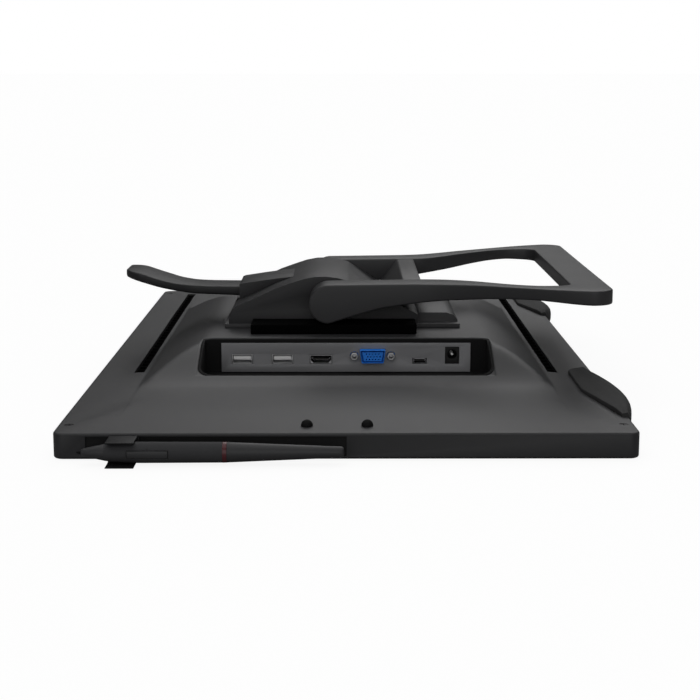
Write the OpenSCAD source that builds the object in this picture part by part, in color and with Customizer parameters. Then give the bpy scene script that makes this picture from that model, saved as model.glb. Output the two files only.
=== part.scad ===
// Pen display lying face down on its screen, with a folding stand and a pen.
// Millimetres, +Z up. X runs across the short side, Y along the long side.
// The screen faces -Z. The ports and the pen are on the -Y half.

/* [Case] */
// Length of the case along the long side
case_y = 571; // [540:1:600]
// Width of the case along the short side
case_x = 335; // [320:1:350]
// Height of the front frame's wall, up to the seam with the back cover
split_z = 14.2; // [13.4:0.1:14.8]
// Height of the back cover at its outer edge
rim_z = 15.3; // [15:0.1:16.5]
// Height of the cover where the hill starts to rise
foot_z = 17.7; // [17:0.1:19]
// Height of the flat top of the back
top_z = 37.8; // [36:0.1:40]
// Radius of the four corners seen from above
corner_r = 6; // [5.5:0.5:9]
// Rounding of the lower outside edge
edge_r = 1.5; // [1:0.1:3]
// Wall thickness of the front frame
wall = 2.8; // [2.4:0.1:3.2]
// Thickness of the back cover
cover_t = 2.2; // [1.8:0.1:2.6]
// Half width of the flat top
hill_top_x = 88; // [84:1:92]
// Half width of the foot of the hill
hill_foot_x = 133; // [128:1:134]
// Half length of the flat top
hill_top_y = 97; // [94:1:99]
// Half length of the foot of the hill
hill_foot_y = 172; // [160:1:185]

/* [Screen] */
// Thickness of the front wall of the frame
front_t = 4; // [3.6:0.1:4.4]
// Rim of the shield plate outside the glass
shield_rim = 7.5; // [7:0.1:8.5]
// Frame between a dial and the glass
dial_web = 4.55; // [4:0.05:6]
// Thickness of the glass
glass_t = 1.8; // [1.4:0.1:2.2]
// Gap round the glass
glass_gap = 0.2; // [0.1:0.05:0.3]
// Width of the ledge behind the glass
ledge = 3; // [2:0.5:4]
// Dark border of the glass along its long edges
border_x = 13.5; // [10:0.5:16]
// Dark border of the glass along its short edges
border_y = 4; // [3.5:0.1:6]
// Thickness of the panel
panel_t = 1.4; // [1.2:0.1:1.8]
// Thickness of the backlight
light_t = 3.4; // [3:0.1:3.8]
// Thickness of the pen sensor board
sensor_t = 1.2; // [1:0.1:1.4]
// Thickness of the shield plate
shield_t = 1; // [0.8:0.1:1.2]

/* [Ports] */
// Half width of the port recess
bay_hx = 97.5; // [95:0.5:100]
// Near edge of the port recess
bay_near = 150; // [146:1:156]
// Rounding of the near corners of the recess
bay_r = 10; // [6:0.5:14]
// Wall thickness of the recess liner
bay_t = 1.6; // [1.4:0.1:2]
// Floor of the recess
bay_z = 14.1; // [13.6:0.1:14.6]
// Front of the port plate
plate_y = 101.5; // [101.2:0.1:102.5]
// Thickness of the port plate
plate_t = 1.5; // [1.2:0.1:1.8]
// Half width of the port plate
plate_hx = 85; // [83:0.5:88]
// Lower edge of the port plate
plate_z0 = 14.6; // [14.4:0.1:15]
// Upper edge of the port plate
plate_z1 = 34.4; // [34:0.1:35]
// Top of the circuit board the sockets stand on
board_z = 20.2; // [19.8:0.1:20.5]
// Thickness of the circuit board
board_t = 1.6; // [1.4:0.1:1.8]
// Gap between a socket and the plate
port_gap = 0.2; // [0.1:0.05:0.3]
// Pitch of the two screws of the video socket
video_pitch = 25; // [24.8:0.1:25.2]

/* [Stand] */
// Thickness of the stand's base plate
base_t = 2.8; // [2.4:0.1:3.4]
// Left end of the base plate
base_x0 = -86; // [-90:1:-84]
// Right end of the base plate
base_x1 = 81; // [78:1:84]
// Left end of the beds under the arms
bed_x0 = -66; // [-70:1:-62]
// Right end of the beds under the arms
bed_x1 = 49; // [46:1:50]
// Pitch of the stand screws
stand_pitch = 75; // [74:0.5:76]
// Half width of the hinge hub
hub_hy = 57; // [56:0.5:57.5]
// Hinge axis across the short side
pivot_x = -12; // [-13:0.5:-11]
// Height of the hinge axis above the flat top
pivot_h = 20.7; // [20:0.1:22]
// Radius of the rounded end of the arms
arm_r = 13.5; // [13:0.1:13.8]
// Inner face of the arms
arm_in = 59.2; // [58.9:0.1:60]
// Outer face of the arms
arm_out = 85.5; // [84.5:0.5:87]
// Outer half width of the loop's end
loop_out = 140; // [134:1:144]
// Inner half width of the loop's end
loop_in = 107; // [102:1:110]
// Far end of the loop
loop_end = 177; // [174:1:180]
// Width of the loop's end bar
bar_w = 25; // [22:1:28]
// Radius of the hinge shaft
shaft_r = 5; // [4.5:0.1:5.5]
// Running clearance of the shaft, on the radius
shaft_gap = 0.05; // [0.03:0.01:0.08]
// Radius of the brake drum
drum_r = 8; // [7.5:0.1:8.4]

/* [Lever] */
// Lever axis across the short side
lever_x = -60; // [-61:0.5:-59]
// Height of the lever axis above the flat top
lever_h = 19.7; // [19.2:0.1:20.2]
// Radius of the lever pin
lever_pin_r = 2.5; // [2.2:0.1:2.8]
// Half width of the lever's stem
lever_hy = 18; // [17:0.5:19]
// Half width of the lever's paddle
tip_hy = 24; // [22:0.5:26]
// Radius of the paddle's corners
tip_r = 14; // [12:0.5:16]
// End of the lever
tip_x = 161; // [158:1:164]

/* [Pen] */
// Height of the pen's axis
pen_z = 7.1; // [6.8:0.1:7.4]
// Distance of the pen's axis from the side wall
pen_off = 11.5; // [11:0.1:13]
// Largest radius of the pen
pen_r = 6; // [5.6:0.1:6.2]
// Distance of the pen's tip from the top edge
pen_inset = 16; // [14:0.5:20]
// Length of the pen
pen_len = 150; // [146:1:154]
// Length of the pen's nose
pen_nose = 15.5; // [14:0.5:17]
// Distance of the ring from the tip
ring_at = 82; // [78:1:86]
// Width of the ring
ring_w = 2.4; // [2:0.1:3]
// Distance of the core's end from the tip
core_end = 118; // [112:1:120]
// Gap between the pen and its cradle
cradle_gap = 0.3; // [0.2:0.05:0.4]

/* [Controls] */
// Half length of a key
key_hx = 9; // [8:0.5:10]
// Half width of a key
key_hy = 4.5; // [4:0.25:5]
// Gap round a key
key_gap = 0.25; // [0.2:0.05:0.35]
// Travel of a key
key_travel = 0.4; // [0.3:0.05:0.5]
// Radius of a dial
dial_r = 15; // [14:0.5:16]
// Width of the flange that keeps a dial in
dial_rim = 1.6; // [1.2:0.1:2]
// Half length of the circuit strip behind the keys
key_board_hx = 122; // [118:1:124]
// Half width of the circuit strip behind the keys
key_board_hy = 13; // [11:0.5:14]

/* [Vents and feet] */
// Near end of the vents
vent_y0 = -117; // [-122:1:-100]
// Distance of the vents' far end from the end of the case
vent_end = 30.5; // [28:0.5:45]
// Width of the vent at the top edge
vent_w1 = 7; // [6:0.5:8]
// Width of the vent at the bottom edge
vent_w2 = 7; // [6:0.5:8]
// Distance of a rubber foot from the end of the case
foot_end = 40; // [30:0.5:44]
// Length of the rubber foot on the port side
foot_len = 144; // [134:1:152]
// Length of the rubber foot on the far side
foot_far_len = 108; // [102:1:120]
// How far a foot stands out past the edge
foot_out = 9.5; // [7:0.5:10]
// How far a foot reaches in over the cover
foot_in = 18; // [16:0.5:20]
// Height of the top of a foot
foot_top = 19.6; // [19:0.1:20.5]

/* [Hidden] */
$fn = 64;
hx = case_x / 2;
hy = case_y / 2;
eps = 0.5;
glass_z1 = glass_t;
panel_z1 = glass_z1 + panel_t;
light_z1 = panel_z1 + light_t;
sensor_z1 = light_z1 + sensor_t;
shield_z1 = sensor_z1 + shield_t;
switch_t = 2.4;
switch_gap = 2;
shield_gap = 0.8;
shield_hx = hx - wall - switch_gap - switch_t - shield_gap;
glass_hx = shield_hx - shield_rim;
strip_y = hy - wall - dial_r - dial_rim - 0.1;
glass_hy = strip_y - dial_r - key_gap - dial_web - glass_gap;
shield_hy = glass_hy - 2;
panel_hx = glass_hx - border_x;
panel_hy = glass_hy - border_y;
lip_t = 2;
lip_gap = 0.2;
lip_z = split_z - 2.2;
lip_hx = hx - wall - lip_gap;
lip_hy = hy - wall - lip_gap;
hill_steps = 10;
bay_far = hill_top_y + 1;
pivot_z = top_z + pivot_h;
base_z = top_z + base_t;
lever_z = top_z + lever_h;
leg_top = pivot_z + arm_r;
pen_y = -hy - pen_off;
screw_x = hx - 6.5;
screw_y = hy - 20.5;
plug_y = hy - 16.2;
plug_xs = [-22.9, 12];
plug_r = 3.5;
vent_x1 = -(hx - 28.1);
vent_x2 = hx - 28.1;
vent_y1 = hy - vent_end;
pen_tip_x = -hx + pen_inset;
key_xs = [-62, -36, 36, 62];
power_y = hy - 60.5;
power_z = 7.6;
power_hy = 6;
power_hz = 2;
cradle_x = pen_tip_x + 25;
cradle_hx = 8;
video_hole_r = 1.42;
dial_stem_r = 3;
cheek_y = lever_hy + 2.6;
bar_in = loop_end - bar_w;
web_x = 53;
shoe_gap = 0.25;
shoe_r = drum_r + shoe_gap + 2;
switch_x = pen_tip_x + 40.25;
shaft_hy = arm_out - 5;
bush_r = shaft_r + 2.2;
key_board_z = front_t + 2.1;
data_xs = [-70.8, -43.4];
picture_x = -17.1;
video_x = 18.15;
oval_x = 50.3;
jack_x = 72.5;
video_z = board_z + 5.6;
flange_y = -plate_y + plate_t + 0.05;
flange_t = 1.2;
stud_r = 2.75;

// Outline of the hub seen from the side
hub_line = [
    [-83, base_z], [-83, top_z + 5.5], [-82.3, top_z + 9.5], [-80.5, top_z + 13], [-77, top_z + 15.8],
    [-73, top_z + 17.4], [-67.5, top_z + 19.6], [-59, top_z + 23.6], [-50, top_z + 27.8],
    [-40, top_z + 31.4], [-30, top_z + 34.7], [-22, top_z + 36.2], [-14, top_z + 36.4], [-6, top_z + 35.4],
    [0, top_z + 33.8], [2.5, top_z + 33], [27, top_z + 17], [39.5, top_z + 15.5], [51, top_z + 9.4],
    [51, base_z]
];

// Outline of the hollow in the hub
hub_hollow = [
    [-79, base_z - 1], [-79, top_z + 5.5], [-78, top_z + 9.6], [-76, top_z + 12.2], [-73, top_z + 13.4],
    [-67.5, top_z + 16], [-59, top_z + 20], [-50, top_z + 24.3], [-40, top_z + 28.2], [-30, top_z + 30.8],
    [-22, top_z + 32.6], [-14, top_z + 33.5], [-6, top_z + 32.9], [-1, top_z + 31.4], [24, top_z + 14.2],
    [38, top_z + 12], [48, top_z + 7], [48, base_z - 1]
];

// Side outline of the leg
leg_line = [
    [pivot_x, leg_top], [60, leg_top + 0.9], [90, leg_top + 2.1], [loop_end + 1, leg_top + 3.3],
    [loop_end + 1, leg_top - 6.6], [160, leg_top - 6.6], [150, leg_top - 6.2], [140, leg_top - 5.6],
    [128, leg_top - 5.1], [113, leg_top - 5.6], [97, leg_top - 6.9], [82, leg_top - 8.6],
    [69, leg_top - 9.9], [58, leg_top - 11.3], [46, leg_top - 13], [23.5, leg_top - 16.4],
    [4, leg_top - 22], [pivot_x, leg_top - 2 * arm_r]
];

// Side outline of the lever's paddle
paddle_line = [
    [lever_x, lever_z + 4.6], [-80, top_z + 24], [-100, top_z + 24.2], [-112, top_z + 24.8],
    [-124, top_z + 26.4], [-138, top_z + 30.4], [-150, top_z + 34.6], [-tip_x, top_z + 36.2],
    [-tip_x, top_z + 31.2], [-150, top_z + 28.2], [-138, top_z + 24.5], [-124, top_z + 21],
    [-112, top_z + 18.6], [-80, top_z + 17.4], [lever_x, lever_z - 4.6]
];

function ease(t) = t <= 0 ? 0 : t >= 1 ? 1 : t * t * (3 - 2 * t);
function swell(t) = t <= 0 ? 0 : t >= 1 ? 1 : sin(90 * t);
function rim(d, edge, foot) = rim_z + (foot_z - rim_z) * (edge - d) / (edge - foot);
function hill_x(x) = x >= hill_foot_x
    ? rim(x, hx, hill_foot_x)
    : foot_z + (top_z - foot_z) * swell((hill_foot_x - x) / (hill_foot_x - hill_top_x));
function hill_y(y) = y >= hill_foot_y
    ? rim(y, hy, hill_foot_y)
    : foot_z + (top_z - foot_z) * ease((hill_foot_y - y) / (hill_foot_y - hill_top_y));
function hill_stops(edge, foot, flat) =
    concat([edge + 2], [for (i = [0 : hill_steps]) foot + (flat - foot) * i / hill_steps]);
function flip(line) = [for (i = [len(line) - 1 : -1 : 0]) [-line[i][0], line[i][1]]];
function back_z(x, y) =
    min(hill_x(abs(x)), hill_y(abs(y)));
function loop_outer(x) = arm_out + (loop_out - arm_out) * ease((x - 40) / 140);
function loop_inner(x) = arm_in + (loop_in - arm_in) * ease((x - 52) / 85);
function paddle_half(x) = lever_hy + (tip_hy - lever_hy) * ease((-x - 108) / 30);

// Plate with rounded corners, standing on z0
module slab(half_x, half_y, r, z0, z1) {
    translate([0, 0, z0])
        linear_extrude(z1 - z0)
            union() {
                square([2 * half_x - 2 * r, 2 * half_y], center = true);
                square([2 * half_x, 2 * half_y - 2 * r], center = true);
                for (sx = [-1, 1], sy = [-1, 1])
                    translate([sx * (half_x - r), sy * (half_y - r)])
                        circle(r);
            }
}

// Box between two corners
module block(a, b) {
    translate(a)
        cube(b - a);
}

// Outline in X and Z pulled along Y, from y0 to y1
module prism_y(points, y0, y1) {
    translate([0, y1, 0])
        rotate([90, 0, 0])
            linear_extrude(y1 - y0)
                polygon(points);
}

// Round bar along Y
module rod_y(x, z, r, y0, y1) {
    translate([x, y1, z])
        rotate([90, 0, 0])
            cylinder(r = r, h = y1 - y0);
}

// Upright round bar
module post(x, y, r, z0, z1) {
    translate([x, y, z0])
        cylinder(r = r, h = z1 - z0);
}

// Turned shape along the pen's axis, points are distance from the tip and radius
module turned(points) {
    translate([pen_tip_x, pen_y, pen_z])
        rotate([0, 90, 0])
            rotate_extrude()
                polygon([for (p = points) [p[1], p[0]]]);
}

// Everything under the back surface, lowered by drop
module hill_solid(drop) {
    line_x = [for (x = hill_stops(hx, hill_foot_x, hill_top_x)) [x, hill_x(x) - drop]];
    line_y = [for (y = hill_stops(hy, hill_foot_y, hill_top_y)) [y, hill_y(y) - drop]];
    intersection() {
        rotate([90, 0, 0])
            linear_extrude(case_y + 40, center = true)
                polygon(concat([[hx + 2, 0]], line_x, flip(line_x), [[-hx - 2, 0]]));
        rotate([90, 0, 90])
            linear_extrude(case_x + 40, center = true)
                polygon(concat([[hy + 2, 0]], line_y, flip(line_y), [[-hy - 2, 0]]));
    }
}

// Frame outline with its lower edge rounded
module frame_outline() {
    arc = [for (i = [0 : 6]) [corner_r - edge_r + edge_r * sin(i * 15), edge_r - edge_r * cos(i * 15)]];
    line = concat([[0, 0]], arc, [[corner_r, split_z], [0, split_z]]);
    for (k = [0 : 3])
        translate([(k == 0 || k == 3 ? 1 : -1) * (hx - corner_r), (k < 2 ? 1 : -1) * (hy - corner_r), 0])
            rotate(k * 90)
                rotate_extrude(angle = 90)
                    polygon(line);
    for (s = [0, 180])
        rotate(s)
            translate([hx - corner_r, 0, 0])
                rotate([90, 0, 0])
                    linear_extrude(2 * (hy - corner_r), center = true)
                        polygon(line);
    for (s = [90, 270])
        rotate(s)
            translate([hy - corner_r, 0, 0])
                rotate([90, 0, 0])
                    linear_extrude(2 * (hx - corner_r), center = true)
                        polygon(line);
    block([-(hx - corner_r), -(hy - corner_r), 0], [hx - corner_r, hy - corner_r, split_z]);
}

// Front frame: side walls and the face round the glass
module front_frame() {
    color([0.10, 0.10, 0.11])
        difference() {
            union() {
                difference() {
                    frame_outline();
                    slab(hx - wall, hy - wall, corner_r - wall, front_t, split_z + 1);
                }
                for (sx = [-1, 1], sy = [-1, 1])
                    post(sx * screw_x, sy * screw_y, 3.5, front_t - eps, lip_z - 0.1);
                for (sx = [-1, 1], share = [-0.82, -0.29, 0.29, 0.82])
                    post(sx * (glass_hx + shield_rim / 2), share * shield_hy, 3, front_t - eps, sensor_z1);
                for (sy = [-1, 1], x = [-114, -106, -24, 24, 106, 114])
                    post(x, sy * (strip_y + 8), 2, front_t - eps, key_board_z);
            }
            slab(glass_hx + glass_gap, glass_hy + glass_gap, 2, -1, glass_z1);
            slab(glass_hx - ledge, glass_hy - ledge, 1, 0, front_t + 1);
            for (sx = [-1, 1], sy = [-1, 1])
                post(sx * screw_x, sy * screw_y, 1.25, front_t + 1, split_z);
            for (sy = [-1, 1]) {
                post(0, sy * strip_y, dial_r + key_gap, -1, front_t + 0.5);
                for (x = key_xs)
                    translate([x, sy * strip_y, 0])
                        slab(key_hx + key_gap, key_hy + key_gap, 2 + key_gap, -1, front_t + 0.5);
            }
            translate([-hx, power_y, power_z])
                rotate([0, 90, 0])
                    translate([0, 0, -1])
                        linear_extrude(wall + 2)
                            square([2 * power_hz + 2 * key_gap, 2 * power_hy + 2 * key_gap], center = true);
            block([cradle_x - 4, -hy - 1, pen_z - 3], [cradle_x + 4, -hy + wall + 1, pen_z + 3]);
            block([pen_tip_x + 3, -hy - 1, 1.8], [cradle_x - cradle_hx - 0.5, -hy + 1.3, split_z - 0.9]);
            block(
                [cradle_x + cradle_hx + 0.5, -hy - 1, 1.8],
                [pen_tip_x + pen_len + 1.5, -hy + 1.3, split_z - 0.9]
            );
        }
}

// Front glass
module cover_glass() {
    color([0.03, 0.03, 0.035])
        slab(glass_hx, glass_hy, 2, 0, glass_z1);
}

// Liquid crystal panel bonded to the glass
module screen_panel() {
    color([0.08, 0.09, 0.12])
        block([-panel_hx, -panel_hy, glass_z1], [panel_hx, panel_hy, panel_z1]);
}

// Backlight tray
module backlight() {
    color([0.90, 0.90, 0.92])
        block([-panel_hx, -panel_hy, panel_z1], [panel_hx, panel_hy, light_z1]);
}

// Board that senses the pen
module pen_sensor() {
    color([0.10, 0.30, 0.18])
        block([-panel_hx, -panel_hy, light_z1], [panel_hx, panel_hy, sensor_z1]);
}

// Steel plate behind the screen, with the bosses that carry the stand and the board
module shield_plate() {
    color([0.66, 0.67, 0.69])
        difference() {
            union() {
                block([-shield_hx, -shield_hy, sensor_z1], [shield_hx, shield_hy, shield_z1]);
                for (sx = [-1, 1], sy = [-1, 1])
                    post(sx * stand_pitch / 2, sy * stand_pitch / 2, 5, shield_z1 - eps, top_z - cover_t);
                for (sx = [-1, 1], y = [-88, 56])
                    post(sx * 78, y, 3.5, shield_z1 - eps, board_z - board_t);
            }
            for (sx = [-1, 1], sy = [-1, 1])
                post(sx * stand_pitch / 2, sy * stand_pitch / 2, 2, shield_z1 + 6, top_z);
        }
}

// Back cover with its hill, seam lip and openings
module back_cover() {
    color([0.13, 0.13, 0.135])
        difference() {
            union() {
                difference() {
                    union() {
                        intersection() {
                            hill_solid(0);
                            slab(hx, hy, corner_r, split_z, top_z + 10);
                        }
                        slab(lip_hx, lip_hy, corner_r - wall, lip_z, split_z + eps);
                    }
                    intersection() {
                        hill_solid(cover_t);
                        slab(lip_hx - lip_t, lip_hy - lip_t, corner_r - wall - lip_t, -1, top_z + 10);
                    }
                }
                for (sx = [-1, 1], sy = [-1, 1])
                    post(sx * screw_x, sy * screw_y, 3, lip_z - 0.1, split_z);
            }
            bay_cut(0, 5);
            vent_cut(vent_x1, vent_w1);
            vent_cut(vent_x2, vent_w2);
            for (sx = [-1, 1], sy = [-1, 1]) {
                post(sx * stand_pitch / 2, sy * stand_pitch / 2, 2.3, top_z - 10, top_z + 10);
                post(sx * screw_x, sy * screw_y, 1.4, 0, top_z);
                post(sx * screw_x, sy * screw_y, 2.7, split_z, top_z);
            }
            for (x = plug_xs, sy = [-1, 1])
                post(x, sy * plug_y, plug_r - 1.5, 0, top_z);
        }
}

// Space of the port recess, made smaller all round by inset
module bay_cut(inset, z0) {
    w = bay_hx - inset;
    near = bay_near - inset;
    translate([0, 0, z0])
        linear_extrude(60)
            union() {
                translate([-w, -near + bay_r])
                    square([2 * w, near - bay_r - bay_far]);
                translate([-w + bay_r, -near])
                    square([2 * w - 2 * bay_r, bay_r + 1]);
                for (s = [-1, 1])
                    translate([s * (w - bay_r), -near + bay_r])
                        circle(bay_r);
            }
}

// Long slot for a vent strip
module vent_cut(x, w) {
    block([x - w / 2, vent_y0, 5], [x + w / 2, vent_y1, 60]);
}

// Black liner of the port recess
module port_bay() {
    color([0.02, 0.02, 0.02])
        difference() {
            intersection() {
                bay_cut(0, bay_z - bay_t);
                hill_solid(0.6);
            }
            intersection() {
                bay_cut(bay_t, bay_z);
                block([-bay_hx, -bay_near, bay_z], [bay_hx, -plate_y + plate_t, top_z + 10]);
            }
            block([-plate_hx + 3, -bay_far - 5, plate_z0 + 3], [plate_hx - 3, -bay_far + 5, plate_z1 - 2]);
        }
}

// Plate round the sockets
module port_plate() {
    color([0.22, 0.22, 0.23])
        difference() {
            block([-plate_hx, -plate_y, plate_z0], [plate_hx, -plate_y + plate_t, plate_z1]);
            for (x = data_xs)
                port_hole(x, 14.2, 6.4);
            port_hole(picture_x, 15, 6);
            prism_y(video_line(0.5 + port_gap), -plate_y - 1, -plate_y + plate_t + 1);
            for (s = [-1, 1])
                rod_y(
                    video_x + s * video_pitch / 2, video_z, stud_r + port_gap,
                    -plate_y - 1, -plate_y + plate_t + 1
                );
            port_hole(oval_x, 9.4, 3.6);
            port_hole(jack_x, 9.3, 11.5);
        }
}

// Opening in the plate for a socket standing on the board
module port_hole(x, w, h) {
    block(
        [x - w / 2 - port_gap, -plate_y - 1, board_z - port_gap],
        [x + w / 2 + port_gap, -plate_y + plate_t + 1, board_z + h + port_gap]
    );
}

// Socket shell standing on the board: outer w by h, mouth mw by mh, deep
module socket(x, w, h, mw, mh, deep) {
    difference() {
        block([x - w / 2, -plate_y + 0.3, board_z], [x + w / 2, -plate_y + 14, board_z + h]);
        block(
            [x - mw / 2, -plate_y - 1, board_z + h / 2 - mh / 2],
            [x + mw / 2, -plate_y + deep, board_z + h / 2 + mh / 2]
        );
    }
}

// Rectangular socket with its tongue
module data_port(i) {
    x = data_xs[i];
    color([0.75, 0.76, 0.78])
        union() {
            socket(x, 14.2, 6.4, 12.6, 5.2, 11);
            block([x - 5.8, -plate_y + 1.2, board_z + 3.2], [x + 5.8, -plate_y + 11.5, board_z + 5.1]);
        }
}

// First rectangular socket
module data_port_1() {
    data_port(0);
}

// Second rectangular socket
module data_port_2() {
    data_port(1);
}

// Picture socket
module picture_port() {
    color([0.70, 0.71, 0.73])
        union() {
            difference() {
                block(
                    [picture_x - 7.5, -plate_y + 0.3, board_z],
                    [picture_x + 7.5, -plate_y + 14, board_z + 6]
                );
                prism_y(
                    [
                        [picture_x - 5.2, board_z + 0.7], [picture_x + 5.2, board_z + 0.7],
                        [picture_x + 6.9, board_z + 2.4], [picture_x + 6.9, board_z + 5.3],
                        [picture_x - 6.9, board_z + 5.3], [picture_x - 6.9, board_z + 2.4]
                    ],
                    -plate_y - 1, -plate_y + 10
                );
            }
            block(
                [picture_x - 5.6, -plate_y + 1.2, board_z + 2.6],
                [picture_x + 5.6, -plate_y + 10.5, board_z + 3.8]
            );
        }
}

// D-shaped outline of the video socket, made larger by grow
function video_line(grow) = [
    [video_x - 6.9 - grow, board_z + 1.6 - grow], [video_x + 6.9 + grow, board_z + 1.6 - grow],
    [video_x + 8.2 + grow, board_z + 9.6 + grow], [video_x - 8.2 - grow, board_z + 9.6 + grow]
];

// Collar of the video socket, with the flange behind the plate
module video_shell() {
    color([0.10, 0.22, 0.60])
        difference() {
            union() {
                prism_y(video_line(0.5), -plate_y - 5, flange_y + flange_t);
                block(
                    [video_x - 15.5, flange_y, board_z],
                    [video_x + 15.5, flange_y + flange_t, board_z + 11.4]
                );
            }
            prism_y(video_line(0), -plate_y - 6, flange_y + flange_t + 1);
            for (s = [-1, 1])
                rod_y(video_x + s * video_pitch / 2, video_z, 1.8, flange_y - 1, flange_y + flange_t + 1);
        }
}

// Insert of the video socket with its contact holes
module video_insert() {
    back_y = flange_y + flange_t;
    color([0.10, 0.22, 0.60])
        difference() {
            union() {
                prism_y(video_line(-0.9), -plate_y - 4.4, flange_y);
                prism_y(video_line(0), flange_y, back_y);
                block([video_x - 15, back_y, board_z], [video_x + 15, back_y + 10, board_z + 11]);
            }
            for (row = [0 : 2], k = [-2 : 2])
                rod_y(
                    video_x + k * 2.1 + (row == 1 ? 0.9 : 0), video_z + (row - 1) * 1.9, 0.5,
                    -plate_y - 5, -plate_y - 1
                );
            for (s = [-1, 1])
                rod_y(video_x + s * video_pitch / 2, video_z, 1.7, back_y - 0.1, back_y + 6);
        }
}

// Pair of hexagon jack screws with threaded holes
module video_studs() {
    color([0.80, 0.80, 0.82])
        for (s = [-1, 1])
            translate([video_x + s * video_pitch / 2, 0, video_z])
                difference() {
                    union() {
                        translate([0, flange_y, 0])
                            rotate([90, 0, 0])
                                cylinder(r = stud_r, h = plate_y + flange_y + 4.8, $fn = 6);
                        rod_y(0, 0, 1.7, flange_y, flange_y + flange_t + 5.6);
                    }
                    rod_y(0, 0, video_hole_r, -plate_y - 6, -plate_y + 3);
                }
}

// Small oval socket
module oval_port() {
    color([0.72, 0.73, 0.75])
        difference() {
            union() {
                oval_y(oval_x, board_z + 1.8, 4.7, 1.8, -plate_y + 0.3, -plate_y + 9);
                block([oval_x - 4, -plate_y + 2.5, board_z], [oval_x + 4, -plate_y + 9, board_z + 1]);
            }
            difference() {
                oval_y(oval_x, board_z + 1.8, 4.2, 1.35, -plate_y - 1, -plate_y + 7);
                block(
                    [oval_x - 3.3, -plate_y + 1.3, board_z + 1.45],
                    [oval_x + 3.3, -plate_y + 8, board_z + 2.15]
                );
            }
        }
}

// Oval bar along Y, half width w and radius r
module oval_y(x, z, w, r, y0, y1) {
    rod_y(x - w + r, z, r, y0, y1);
    rod_y(x + w - r, z, r, y0, y1);
    block([x - w + r, y0, z - r], [x + w - r, y1, z + r]);
}

// Power socket with its pin
module power_jack() {
    color([0.05, 0.05, 0.05])
        union() {
            difference() {
                block(
                    [jack_x - 4.65, -plate_y + 0.3, board_z],
                    [jack_x + 4.65, -plate_y + 14, board_z + 11.5]
                );
                rod_y(jack_x, board_z + 6.4, 3.2, -plate_y - 1, -plate_y + 10);
            }
            rod_y(jack_x, board_z + 6.4, 0.85, -plate_y + 1.2, -plate_y + 11);
        }
}

// Circuit board with its main chip
module main_board() {
    color([0.05, 0.22, 0.12])
        difference() {
            union() {
                block([-plate_hx, -bay_far + 0.6, board_z - board_t], [plate_hx, 64, board_z]);
                block([-14, -20, board_z - eps], [14, 8, board_z + 1.8]);
            }
            for (sx = [-1, 1], sy = [-1, 1])
                post(sx * stand_pitch / 2, sy * stand_pitch / 2, 5.6, 0, 60);
        }
}

// Strip with cross slots that fills a vent
module vent_strip(x, w) {
    z1 = back_z(abs(x) + w / 2, 0) - 0.5;
    pitch = 12;
    color([0.02, 0.02, 0.02])
        difference() {
            block([x - w / 2, vent_y0, z1 - 1.8], [x + w / 2, vent_y1, z1]);
            for (y = [vent_y0 + 2 : pitch : vent_y1 - pitch])
                block([x - w / 2 + 1.4, y, 0], [x + w / 2 - 1.4, y + pitch - 2, 60]);
        }
}

// Vent along the top edge of the screen
module vent_top() {
    vent_strip(vent_x1, vent_w1);
}

// Vent along the bottom edge of the screen
module vent_bottom() {
    vent_strip(vent_x2, vent_w2);
}

// Four screws in the corners of the back cover
module case_screws() {
    color([0.25, 0.25, 0.26])
        for (sx = [-1, 1], sy = [-1, 1])
            difference() {
                union() {
                    post(sx * screw_x, sy * screw_y, 2.4, split_z, split_z + 1.1);
                    post(sx * screw_x, sy * screw_y, 1.2, front_t + 1.5, split_z + 0.5);
                }
                for (a = [0, 90])
                    translate([sx * screw_x, sy * screw_y, split_z + 0.5])
                        rotate(a)
                            block([-1.4, -0.3, 0], [1.4, 0.3, 2]);
            }
}

// Tilted plugs on the gentle slopes, each with a dimple and a stem in the cover
module slope_plugs() {
    z = back_z(0, plug_y);
    color([0.02, 0.02, 0.02])
        for (x = plug_xs, sy = [-1, 1]) {
            difference() {
                translate([x, sy * plug_y, z + 0.4])
                    sphere(r = plug_r);
                hill_solid(0);
            }
            post(x, sy * plug_y, plug_r - 1.5, z - 2, z + 0.15);
        }
}

// Rubber foot over the bottom edge, long from y0 on
module rubber_foot(y0, long) {
    bow = foot_out + 2.6;
    lens_r = (long * long / 4 + bow * bow) / (2 * bow);
    color([0.035, 0.035, 0.035])
        difference() {
            intersection() {
                translate([hx + foot_out - lens_r, y0 + 0.43 * long, 5])
                    cylinder(r = lens_r, h = foot_top - 5, $fn = 256);
                prism_y(
                    [
                        [hx - foot_in, 10], [hx, 5], [hx + foot_out - 2, 5], [hx + foot_out + 1, 8],
                        [hx + foot_out + 1, foot_top - 3.5], [hx + foot_out - 3, foot_top - 0.8],
                        [hx + 1, foot_top], [hx - 10, foot_top - 0.2], [hx - foot_in, foot_top - 0.6]
                    ],
                    y0, y0 + long
                );
                linear_extrude(60)
                    polygon([
                        [hx - 4, y0], [hx + foot_out + 5, y0], [hx + foot_out + 5, y0 + long],
                        [hx - 4, y0 + long], [hx - foot_in, y0 + 0.9 * long],
                        [hx - foot_in, y0 + 0.46 * long]
                    ]);
            }
            intersection() {
                hill_solid(0);
                block([-hx, -hy, 0], [hx, hy, 60]);
            }
        }
}

// Rubber foot on the port side
module foot_near() {
    rubber_foot(-hy + foot_end, foot_len);
}

// Rubber foot on the far side
module foot_far() {
    rubber_foot(hy - foot_end - foot_far_len, foot_far_len);
}

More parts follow.
